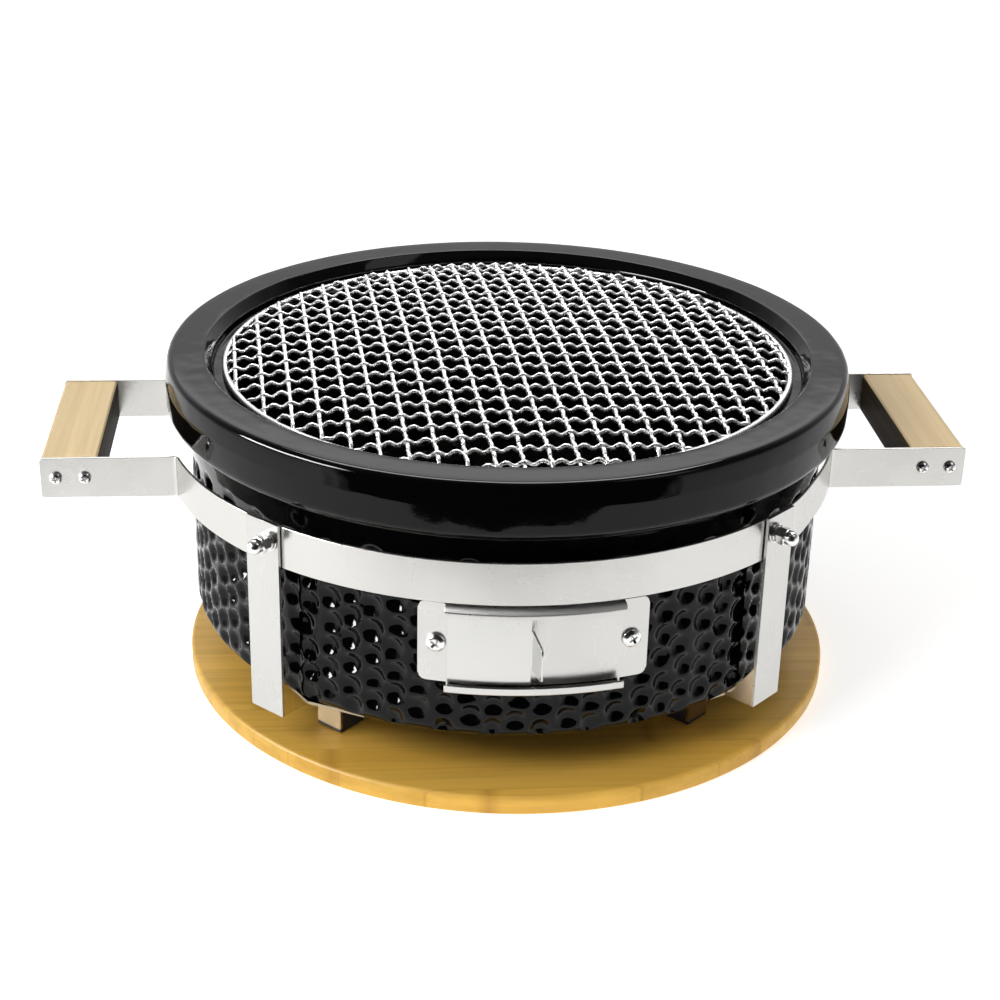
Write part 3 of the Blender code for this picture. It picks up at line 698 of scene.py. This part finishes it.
def make_hoops():
    """Each half hoop is one strip with filleted edges, drawn along its path."""
    half = STRIP / 2
    path = hoop_path(HOOP_RADIUS - half, ARM_Y - half)
    fillet = 0.0003
    for name, node, side in (("front_band", "front_hoop", 1), ("rear_band", "rear_hoop", -1)):
        bm = bmesh.new()
        loops = []
        for i, (x, y) in enumerate(path):
            before = Vector(path[max(i - 1, 0)])
            after = Vector(path[min(i + 1, len(path) - 1)])
            along = (after - before).normalized()
            normal = Vector((along.y, -along.x))
            cut_in = corner_cut(ARM_CORNER, HOOP_HIGH.x - abs(x))
            low, high = HOOP_LOW.z + cut_in, HOOP_HIGH.z - cut_in
            section = bar_section(half, low, high, fillet, 3)
            loops.append([
                bm.verts.new((x + normal.x * n, side * (y + normal.y * n), z)) for n, z in section
            ])
        join_loops(bm, loops)
        level_normals(shade(add_piece(name, bm, "grill", [node], STRIP_STEEL), 45))


# --- fasteners ---

BOLT_HEIGHT = 0.1245
BOLT_SHIFT = 0.005  # the leg bolts stand this far to the web's side of the leg's middle
BOLT_RADIUS = 0.0025
WASHER_BORE = 0.0028
WASHER_RADIUS = 0.005
WASHER_THICKNESS = 0.001
SPRING_RADIUS = 0.0045
SPRING_THICKNESS = 0.0013
NUT_HEX = 0.0046  # to the hexagon's corners
NUT_HEX_HEIGHT = 0.004
NUT_HEIGHT = 0.0095
VENT_SCREW_ANGLE = 15.95
VENT_SCREW_HEIGHT = 0.0857
FOOT_SCREW_RADIUS = 0.1355  # from the hoops' axis
FOOT_SCREW_HEIGHT = 0.0185


def cross_recess(size, depth, place):
    """A cutter for a cross recess: two crossed blades that narrow downwards."""
    made = None
    for turn in (0, math.pi / 2):
        bm = bmesh.new()
        bmesh.ops.create_cone(bm, cap_ends=True, segments=4, radius1=size * 0.3, radius2=size * 1.7,
                              depth=depth * 2)
        bmesh.ops.rotate(bm, verts=bm.verts, matrix=Matrix.Rotation(math.pi / 4, 3, "Z"))
        bmesh.ops.scale(bm, verts=bm.verts, vec=(1, 0.24, 1))
        bmesh.ops.rotate(bm, verts=bm.verts, matrix=Matrix.Rotation(turn + 0.4, 3, "Z"))
        blade = loose_object("recess", bm)
        made = blade if made is None else cut(made, blade, "UNION")
    made.data.transform(place)
    return made


def domed_screw(radius, height, shank, length):
    """The mesh of a pan head screw: the head stands on z = 0 and the shank runs down."""
    dome = rounded([(0, height, 0), (radius * 0.62, height * 0.93, radius * 0.5),
                    (radius, height * 0.42, radius * 0.15), (radius, 0.0002, 0)], 5)
    profile = [*dome, (radius - 0.0002, 0), (shank, 0)]
    turns = 14
    for i in range(turns):
        z = -length * (0.08 + 0.9 * i / turns)
        profile += [(shank * 0.80, z), (shank, z - length * 0.03)]
    profile.append((0, -length))
    bm = bmesh.new()
    turned_mesh(bm, profile, 32)
    screw = loose_object("screw", bm)
    cut(screw, cross_recess(radius * 0.8, height * 0.62, Matrix.Translation((0, 0, height))))
    mesh = screw.data
    bpy.data.objects.remove(screw)
    return mesh


def place_fastener(name, mesh, place, node):
    """A copy of a fastener's mesh at its place, which stands for one CAD node."""
    copied = mesh.copy()
    copied.transform(place)
    shade(add_piece(name, copied, "grill", [node], FASTENER_STEEL), 38)


def node_frame(azimuth, radius, y, z):
    """+Z points outwards at this azimuth; the origin is at a radius, y along growing azimuth, z up."""
    out = outward(1, azimuth, 0)
    side = Vector((-out.y, out.x, 0))
    origin = out * radius + side * y + Vector((0, 0, z))
    columns = Matrix((side, Vector((0, 0, 1)), out)).transposed().to_4x4()
    return Matrix.Translation(origin) @ columns


def acorn_nut_mesh():
    """A chamfered hexagon with a dome, standing on z = 0."""
    bm = bmesh.new()
    bmesh.ops.create_cone(bm, cap_ends=True, segments=6, radius1=NUT_HEX, radius2=NUT_HEX,
                          depth=NUT_HEX_HEIGHT, matrix=Matrix.Translation((0, 0, NUT_HEX_HEIGHT / 2)))
    nut = loose_object("nut", bm)
    bm = bmesh.new()
    turned_mesh(bm, [(0, 0.0041), (0.0039, 0.0041), (0.00475, 0.0034), (0.00475, 0.0006), (0.0041, -0.0001),
                     (0, -0.0001)], 40)
    cut(nut, loose_object("chamfer", bm), "INTERSECT")
    dome = rounded([(0, NUT_HEIGHT, 0), (0.0036, NUT_HEIGHT, 0.0034), (0.0037, 0.0044, 0.0003),
                    (0.0040, 0.0035, 0), (0.0030, 0.0030, 0), (0, 0.0030, 0)], 6)
    bm = bmesh.new()
    turned_mesh(bm, dome, 36)
    cut(nut, loose_object("dome", bm), "UNION")
    mesh = nut.data
    bpy.data.objects.remove(nut)
    return mesh


def washer_mesh(inner, outer, thick):
    """A flat ring with chamfered outer edges, standing on z = 0."""
    edge = 0.0002
    steps = 40
    profile = [(inner, thick), (outer - edge, thick), (outer, thick - edge), (outer, edge), (outer - edge, 0),
               (inner, 0)]
    bm = bmesh.new()
    rings = turned_mesh(bm, profile, steps)
    for i in range(steps):
        j = (i + 1) % steps
        bm.faces.new((rings[-1][i], rings[0][i], rings[0][j], rings[-1][j]))
    return mesh_of("washer", bm)


def spring_washer_mesh(inner, outer, thick):
    """A square wire on one turn of a low helix, cut off on a slant."""
    wire = (outer - inner) / 2
    middle = (outer + inner) / 2
    edge = 0.00015
    tall = thick * 0.42
    bm = bmesh.new()
    loops = []
    steps = 44
    for i in range(steps + 1):
        angle = math.radians(8 + 344 * i / steps)
        rise = thick / 2 + (i / steps - 0.5) * thick * 0.16
        section = bar_section(wire, -tall, tall, edge, 2)
        loops.append([
            bm.verts.new(((middle + n) * math.cos(angle), (middle + n) * math.sin(angle), rise + z))
            for n, z in section
        ])
    join_loops(bm, loops)
    return mesh_of("spring_washer", bm)


def leg_bolt_mesh(reach):
    """Truss head at the origin, which faces inwards, and a threaded shank outwards."""
    root = 0.0021
    pitch = 0.0007
    profile = [(0, reach), (root, reach)]
    for i in range(12):
        z = reach - 0.0004 - i * pitch
        profile += [(BOLT_RADIUS, z), (root, z - pitch / 2)]
    profile += [(BOLT_RADIUS, 0.0), (0.0052, 0.0), (0.0051, -0.0006), (0.0044, -0.0020),
                (0.0028, -0.0028), (0, -0.0030)]
    bm = bmesh.new()
    turned_mesh(bm, profile, 30)
    return mesh_of("bolt", bm)


def make_leg_fasteners():
    """A bolt, a washer, a spring washer and an acorn nut through each leg and its hoop."""
    plain_seat = HOOP_RADIUS + GAP + STRIP + GAP
    spring_seat = plain_seat + WASHER_THICKNESS + GAP
    nut_seat = spring_seat + SPRING_THICKNESS + GAP
    head_seat = HOOP_RADIUS - STRIP - 0.0008
    stack = [
        ("capped_nut", "acorn_nut", acorn_nut_mesh(), nut_seat),
        ("flat_ring", "plain_washer", washer_mesh(WASHER_BORE, WASHER_RADIUS, WASHER_THICKNESS), plain_seat),
        ("split_ring", "spring_washer", spring_washer_mesh(WASHER_BORE, SPRING_RADIUS, SPRING_THICKNESS),
         spring_seat),
        ("through_bolt", "leg_bolt", leg_bolt_mesh(nut_seat + 0.006 - head_seat), head_seat),
    ]
    for number, (corner, azimuth) in enumerate(LEG_AZIMUTHS.items()):
        for name, node, mesh, seat in stack:
            spin = 0 if node == "leg_bolt" else 0.35 + 0.9 * number
            place = node_frame(azimuth, seat, WEB_SIDES[corner] * BOLT_SHIFT, BOLT_HEIGHT)
            turned = place @ Matrix.Rotation(spin, 4, "Z")
            place_fastener(f"{name}_{corner}", mesh, turned, f"{node}_{corner}")


def make_handle_screws():
    """Two screws at each end of each bar."""
    screw = domed_screw(0.0031, 0.0022, 0.0017, 0.020)
    z = (HOOP_LOW.z + HOOP_HIGH.z) / 2
    for place, end in (("front", -1), ("rear", 1)):
        for word, side in (("left", -1), ("right", 1)):
            for number in (1, 2):
                node = f"handle_screw_{place}_{word}_{number}"
                low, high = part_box(node)
                origin = ((low.x + high.x) / 2, end * (ARM_Y + GAP), z)
                spin = Matrix.Rotation(number * 1.3 + side * 0.4 + end, 4, "Z")
                place_fastener(f"bar_screw_{place}_{word}_{number}", screw,
                               direction_place(origin, (0, end, 0)) @ spin, node)


def make_vent_screws():
    """The two screws of the vent plate and their nuts inside the bowl."""
    screw = domed_screw(0.0047, 0.0024, 0.0019, 0.031)
    seat = PLATE + VENT_SHEET / 2 + GAP
    for word, side, spin in (("left", -1, 0.55), ("right", 1, 0.1)):
        angle = VENT_AZIMUTH + side * VENT_SCREW_ANGLE
        at = BOWL_PLACE @ node_frame(angle, seat, 0, VENT_SCREW_HEIGHT) @ Matrix.Rotation(spin, 4, "Z")
        place_fastener(f"plate_screw_{word}", screw, at, f"vent_screw_{word}")
        refined(f"plate_nut_{word}", f"vent_nut_{word}", "grill", FASTENER_STEEL, 0.0003)


def make_foot_screws():
    """One screw through each leg's tab into its foot block."""
    screw = domed_screw(0.003, 0.0036, 0.0015, 0.010)
    for corner, azimuth in LEG_AZIMUTHS.items():
        side = WEB_SIDES[corner]
        out = outward(1, azimuth, 0)
        across = Vector((-out.y, out.x, 0))
        origin = out * FOOT_SCREW_RADIUS - across * (side * 0.0001) + Vector((0, 0, FOOT_SCREW_HEIGHT))
        place_fastener(f"block_screw_{corner}", screw, direction_place(origin, across * -side),
                       f"foot_screw_{corner}")


# --- legs and feet ---

LEG_INSIDE = 0.1722  # what lies nearer the axis than this is the web, the shelf or the tab


def make_legs():
    """Brushed leg faces, with mirror webs and shelves, and duller tabs under the bowl whose steel is painted
    dark brownish shade.
    """
    for corner, azimuth in LEG_AZIMUTHS.items():
        leg = refined(f"folded_leg_{corner}", f"leg_{corner}", "grill", LEG_STEEL, 0.00035)
        leg.data.materials.append(MIRROR_STEEL)
        leg.data.materials.append(SHADE_PAINTED_STEEL)
        out = outward(1, azimuth, 0)
        for face in leg.data.polygons:
            if face.center.dot(out) < LEG_INSIDE:
                # under the bowl's bottom the steel is painted shade; above it, mirror
                face.material_index = 2 if face.center.z < BOWL_LOW.z + 0.001 else 1
        refined(f"rubber_foot_{corner}", f"foot_block_{corner}", "grill", RUBBER, 0.0006, 3)


# --- vent ---

VENT_SHEET = 0.0012
PLATE = 0.1629  # radius of the middle of the plate's sheet
RAIL = 0.1684  # radius of the middle of the rails' lips
WINDOW_SIDES = (WINDOW[0] - VENT_AZIMUTH, WINDOW[1] - VENT_AZIMUTH)  # from the vent's own middle
EAR_ANGLE = 19.0
RAIL_ANGLE = 14.25
EAR_HEIGHTS = (0.0652, 0.1062)
EAR_CORNER = 0.004
RAIL_HEIGHTS = (0.0627, 0.1062)
LIP_HEIGHTS = (0.0663, 0.1019)  # the free edges of the lower and of the upper lip
FOLD_START = 0.1008  # above this the plate bends over to the upper lip
DOOR_SHEET = 0.001
DOOR_RADIUS = 0.1652
DOOR_ANGLES = (-14.0, -0.65)
DOOR_HEIGHTS = (0.0664, 0.1048)
TAB_HEIGHTS = (0.0744, 0.0942)
TAB_DEPTH = 0.014
TAB_TIP = 0.0015  # the tab's corners are taken off over this much of its depth
TAB_BEND = 0.0009
TAB_LEAN = 0.003 / TAB_DEPTH


def vent_angles():
    """Azimuths of the vent sheet's columns, measured from the vent's own middle."""
    first, last = WINDOW_SIDES
    end = RAIL_ANGLE - 0.45
    left = [*np.linspace(-EAR_ANGLE, -RAIL_ANGLE, 13)[:-1], -RAIL_ANGLE, -end]
    left += [*np.linspace(-end, first, 5)[1:-1]]
    right = [*np.linspace(last, end, 27)[1:], RAIL_ANGLE, *np.linspace(RAIL_ANGLE, EAR_ANGLE, 13)[1:]]
    return [*left, *np.linspace(first, last, 21), *right]


def make_vent_frame():
    """The ears, the plate with its window, and the two folded rails, as one bent sheet."""
    angles = vent_angles()
    first, last = WINDOW_SIDES
    sill, lintel = WINDOW[2:]
    bottom, top = RAIL_HEIGHTS
    lower_lip, upper_lip = LIP_HEIGHTS
    foot = rounded([(RAIL, lower_lip, 0), (RAIL, bottom, 0.0009), (PLATE, bottom, 0.0009),
                    (PLATE, bottom + 0.0014, 0)], 4)
    head = rounded([(PLATE, top - 0.004, 0), (PLATE, top, 0.0014), (RAIL, top, 0.0026),
                    (RAIL, upper_lip, 0)], 6)
    ear_low, ear_high = EAR_HEIGHTS
    plate_rows = [ear_low, 0.0670, sill, 0.076, 0.084, 0.092, lintel, 0.1005]
    section = [*foot, *[(PLATE, z) for z in plate_rows], *head]
    n_foot = len(foot)
    n_head = n_foot + len(plate_rows)
    rows = []
    for angle in angles:
        cut_in = corner_cut(EAR_CORNER, math.radians(EAR_ANGLE - abs(angle)) * PLATE)
        row = []
        for k, (radius, z) in enumerate(section):
            if abs(angle) > RAIL_ANGLE + 1e-6 and n_foot <= k <= n_head + 1:
                # the ears are flat and end in rounded corners
                share = (z - ear_low) / (section[n_head + 1][1] - ear_low)
                z = ear_low + cut_in + share * (ear_high - ear_low - 2 * cut_in)
                radius = PLATE
            row.append(outward(radius, VENT_AZIMUTH + angle, z))
        rows.append(row)

    def keep(i, j):
        a, b = angles[i], angles[i + 1]
        in_rail = a > -RAIL_ANGLE - 1e-6 and b < RAIL_ANGLE + 1e-6
        in_end = in_rail and (b < -RAIL_ANGLE + 0.46 or a > RAIL_ANGLE - 0.46)
        if not in_rail:
            return n_foot <= j <= n_head
        if j == n_foot - 1:
            return in_end  # a long slot over the lower rail
        z = (section[j][1] + section[j + 1][1]) / 2
        inside = first - 1e-6 < a and b < last + 1e-6 and sill < z < lintel
        return not (inside and section[j][0] == PLATE and section[j + 1][0] == PLATE)

    bm = bmesh.new()
    grid_faces(bm, rows, keep)
    obj = add_piece("vent_plate", bm, "grill", ["vent_frame"], VENT_STEEL)
    modifier(obj, "SOLIDIFY", thickness=VENT_SHEET, offset=0, use_even_offset=True)
    bake(obj)
    soften(obj, 0.0002, 2, 50)
    obj.data.materials.append(FOLD_HIGHLIGHT_STEEL)
    # the fold's upward faces get the lighter steel, a painted highlight
    for face in obj.data.polygons:
        if face.center.z > FOLD_START and face.normal.z > 0.15:
            face.material_index = 1
    on_bowl(obj)


def make_door():
    """A curved sheet in the rails whose free edge is folded out as the finger tab."""
    first, last = DOOR_ANGLES
    low, high = DOOR_HEIGHTS
    tab_low, tab_high = TAB_HEIGHTS
    bm = bmesh.new()
    heights = [low, 0.070, *np.linspace(tab_low, tab_high, 5), 0.099, high]
    rows = grid_faces(bm, [[outward(DOOR_RADIUS, VENT_AZIMUTH + a, z) for z in heights]
                           for a in np.linspace(first, last, 34)])
    out = outward(1, VENT_AZIMUTH + last, 0)
    across = Vector((-out.y, out.x, 0))
    root = rows[-1][2:7]
    # the fold, then the straight tab, as distances sideways and outwards from the door's edge
    turns = np.linspace(0, math.pi / 2, 6)[1:]
    route = [(math.sin(t) * TAB_BEND, (1 - math.cos(t)) * TAB_BEND) for t in turns]
    route += [(TAB_BEND + TAB_LEAN * (d - TAB_BEND), d)
              for d in (0.004, 0.009, TAB_DEPTH - TAB_TIP, TAB_DEPTH)]
    previous = root
    for sideways, outwards in route:
        share = max(0.0, (outwards - TAB_BEND) / (TAB_DEPTH - TAB_BEND))
        tip = max(0.0, (outwards - TAB_DEPTH + TAB_TIP) / TAB_TIP)
        bottom = tab_low + 0.0008 * share
        top = tab_high - 0.0022 * share
        current = []
        for k, vert in enumerate(root):
            z = bottom + k / 4 * (top - bottom)
            z += (0.0012 if k == 0 else -0.0012 if k == 4 else 0) * tip
            place = Vector((vert.co.x, vert.co.y, z)) + across * sideways + out * outwards
            current.append(bm.verts.new(place))
        for k in range(4):
            bm.faces.new((previous[k], current[k], current[k + 1], previous[k + 1]))
        previous = current
    obj = add_piece("sliding_door", bm, "door", ["draft_door"], DOOR_STEEL)
    modifier(obj, "SOLIDIFY", thickness=DOOR_SHEET, offset=0, use_even_offset=True)
    bake(obj)
    on_bowl(soften(obj, 0.00018, 2, 50))


# --- grates ---

RING_RADIUS = 0.1436
RING_WIRE = 0.0016
RING_Z = GRATE_LOW.z + RING_WIRE
DOME = 0.0103
EDGE_LIFT = 0.0018
MESH_PITCH = 0.0126
MESH_TURN = math.radians(3.6)
WIRE_RADIUS = 0.00102
CRIMP = 0.00098  # how far a wire swings up and down where it crosses others


def dome_z(x, y):
    """Height of the net's middle: a low dome, a little fuller towards its edge."""
    reach = math.hypot(x, y) / RING_RADIUS
    lift = EDGE_LIFT * min(1, reach / 0.8) ** 4 * min(1, (1 - reach) / 0.022)
    return RING_Z + DOME * (1 - reach ** 2) + max(0, lift)


def make_cooking_grate():
    """Two families of crimped wires that pass over and under each other, in a wire ring."""
    curve = bpy.data.curves.new("woven_grate", "CURVE")
    curve.dimensions = "3D"
    curve.bevel_depth = 1.0
    curve.bevel_resolution = 1
    curve.use_fill_caps = True
    reach = RING_RADIUS - 0.0002
    count = int(reach / MESH_PITCH)
    for family in (0, 1):
        turn = MESH_TURN + family * math.pi / 2
        along = Vector((math.cos(turn), math.sin(turn)))
        side = Vector((-along.y, along.x))
        for i in range(-count, count + 1):
            offset = i * MESH_PITCH
            half = math.sqrt(reach ** 2 - offset ** 2)
            steps = max(6, int(2 * half / (MESH_PITCH / 9)))
            spline = curve.splines.new("POLY")
            spline.points.add(steps)
            sign = (-1) ** i * (1 if family == 0 else -1)
            for k in range(steps + 1):
                s = -half + 2 * half * k / steps
                x, y = along * s + side * offset
                fade = min(1.0, (half - abs(s)) / 0.004)
                wave = sign * CRIMP * math.cos(3 * math.pi * s / MESH_PITCH) * fade
                spline.points[k].co = (x, y, dome_z(x, y) + wave, 1)
                spline.points[k].radius = WIRE_RADIUS
    ring = curve.splines.new("POLY")
    ring_steps = 180
    ring.points.add(ring_steps - 1)
    ring.use_cyclic_u = True
    for k in range(ring_steps):
        a = 2 * math.pi * k / ring_steps
        ring.points[k].co = (RING_RADIUS * math.cos(a), RING_RADIUS * math.sin(a), RING_Z, 1)
        ring.points[k].radius = RING_WIRE
    drawn = linked("woven_grate_lines", curve)
    mesh = evaluated_mesh(drawn)
    bpy.data.objects.remove(drawn)
    grate = add_piece("woven_grate", mesh, "cooking_grate", ["cooking_grate"], WIRE_STEEL)
    on_bowl(shade(grate, 70))


def make_charcoal_grate():
    """The slotted plate of the CAD, with its edges rounded as cast, in near-black iron without shine that is
    painted shade.
    """
    refined("fire_grate", "charcoal_grate", "charcoal_grate", SHADE_BLACK_IRON, 0.0008)


# --- studio ---


def card(name, half_width, half_height, material):
    """A flat rectangle of the studio, in its own XY plane."""
    bm = bmesh.new()
    bmesh.ops.create_grid(bm, x_segments=1, y_segments=1, size=1)
    bmesh.ops.scale(bm, verts=bm.verts, vec=(half_width, half_height, 1))
    obj = loose_object(name, bm)
    obj.data.materials.append(material)
    return obj


def make_floor():
    """White paper that glows a little, so that it stays white under the shadows."""
    paper = Shader("floor_paper", Base_Color=(0.88, 0.88, 0.88, 1), Roughness=0.9, Specular_IOR_Level=0.0,
                   Emission_Color=(1, 1, 1, 1), Emission_Strength=0.56)
    card("floor", 40, 40, paper.material).location.z = -0.0002


def flag_cloth():
    """Black in the middle, and thinner towards uneven side edges."""
    s = Shader("flag_cloth", Base_Color=(0, 0, 0, 1), Roughness=1.0, Specular_IOR_Level=0.0)
    across = s.node("SeparateXYZ", {0: s.place()}).outputs["X"]
    ragged = s.math("MULTIPLY", s.math("SUBTRACT", s.noise(s.place(), 9, 4), 0.5), 0.35)
    reach = s.math("ABSOLUTE", s.math("ADD", across, ragged))
    s.feed("Alpha", s.ramp(reach, (0.44, 1.0), (0.56, 0.0)))
    return s.material


def make_flag():
    """A black card in front of the grill that only reflections see."""
    flag = card("flag", 0.58, 0.45, flag_cloth())
    flag.location = outward(0.46, VIEW_TURN, 0.451)
    flag.rotation_euler = (math.radians(90), 0, math.radians(VIEW_TURN))
    flag.visible_camera = False
    flag.visible_diffuse = False
    flag.visible_shadow = False


def make_world():
    """Bright near the horizon and high behind the grill, dim overhead."""
    world = bpy.data.worlds.new("studio")
    world.use_nodes = True
    sky = Nodes(world.node_tree)
    background = sky.tree.nodes["Background"]
    background.inputs["Color"].default_value = (1, 1, 1, 1)
    where = sky.node("TexCoord").outputs["Generated"]
    turn = (0, 0, math.radians(-VIEW_TURN))
    turned = sky.node("Mapping", {"Vector": where, "Rotation": turn}).outputs["Vector"]
    parts = sky.node("SeparateXYZ", {0: turned}).outputs
    depth, height = parts["Y"], parts["Z"]
    low = sky.ramp(height, (0.0, 1.0), (0.12, 0.9), (0.30, 0.12))
    back = sky.ramp(depth, (0.10, 0.0), (0.75, 1.0))
    high = sky.ramp(height, (0.0, 1.0), (0.62, 1.0), (0.85, 0.15))
    bright = sky.math("MAXIMUM", low, sky.math("MULTIPLY", back, high))
    rear = sky.math("MULTIPLY", sky.ramp(depth, (0.55, 0.0), (0.85, 1.0)),
                    sky.ramp(height, (0.35, 0.0), (0.41, 1.0), (0.55, 1.0), (0.70, 0.0)))
    lit = sky.math("ADD", sky.math("MULTIPLY", bright, 0.72), sky.math("MULTIPLY", rear, 1.1))
    sky.tree.links.new(sky.math("ADD", lit, 0.05), background.inputs["Strength"])
    bpy.context.scene.world = world


def add_area(name, azimuth, elevation, distance, size, power, glossy=True):
    """A soft box that looks at the bowl. Its azimuth is counted from the camera's."""
    light = bpy.data.lights.new(name, "AREA")
    light.shape = "RECTANGLE"
    light.size, light.size_y = size
    light.energy = power
    obj = linked(name, light)
    level = distance * math.cos(math.radians(elevation))
    obj.location = outward(level, azimuth + VIEW_TURN, distance * math.sin(math.radians(elevation)) + 0.1)
    aim = Vector((0, 0, 0.1)) - obj.location
    obj.rotation_euler = aim.to_track_quat("-Z", "Y").to_euler()
    obj.visible_glossy = glossy
    return obj


def make_lights():
    """An even light from above and in front, boxes behind and on the left that show only as reflections, and
    a weak box on the right.
    """
    add_area("overhead", -50, 74, 4.5, (8.0, 8.0), 92, glossy=False)
    add_area("back_box", 180, 66, 2.0, (1.8, 0.7), 48).visible_diffuse = False
    add_area("left_box", -69, 22, 1.8, (1.3, 0.35), 85).visible_diffuse = False
    add_area("right_box", 62, 50, 1.8, (0.45, 0.7), 1.5)
    add_area("front_fill", -45, 38, 1.9, (0.8, 0.8), 18, glossy=False)


def make_camera():
    """The camera stands 1.08 m from the grill, 25 degrees above the level."""
    pitch, roll, yaw = math.radians(25.171), math.radians(1.358), math.radians(-0.03)
    forward = Vector((math.sin(yaw) * math.cos(pitch), math.cos(yaw) * math.cos(pitch), -math.sin(pitch)))
    level = Vector((math.cos(yaw), -math.sin(yaw), 0))
    over = level.cross(forward)
    right = math.cos(roll) * level + math.sin(roll) * over
    up = -math.sin(roll) * level + math.cos(roll) * over
    turn = Matrix.Rotation(math.radians(VIEW_TURN), 3, "Z")
    axes = Matrix((turn @ right, turn @ up, turn @ -forward)).transposed().to_4x4()
    data = bpy.data.cameras.new("camera")
    data.sensor_width = 36
    data.lens = 70.85
    data.clip_end = 200
    camera = linked("camera", data)
    camera.matrix_world = Matrix.Translation(turn @ Vector((0, -0.943495, 0.525561))) @ axes
    bpy.context.scene.camera = camera


make_camera()
make_bowl()
make_board()
make_handles()
make_hoops()
make_legs()
make_leg_fasteners()
make_handle_screws()
make_vent_screws()
make_foot_screws()
make_vent_frame()
make_door()
make_cooking_grate()
make_charcoal_grate()
make_floor()
make_flag()
make_world()
make_lights()
bpy.context.scene.view_settings.view_transform = "Standard"
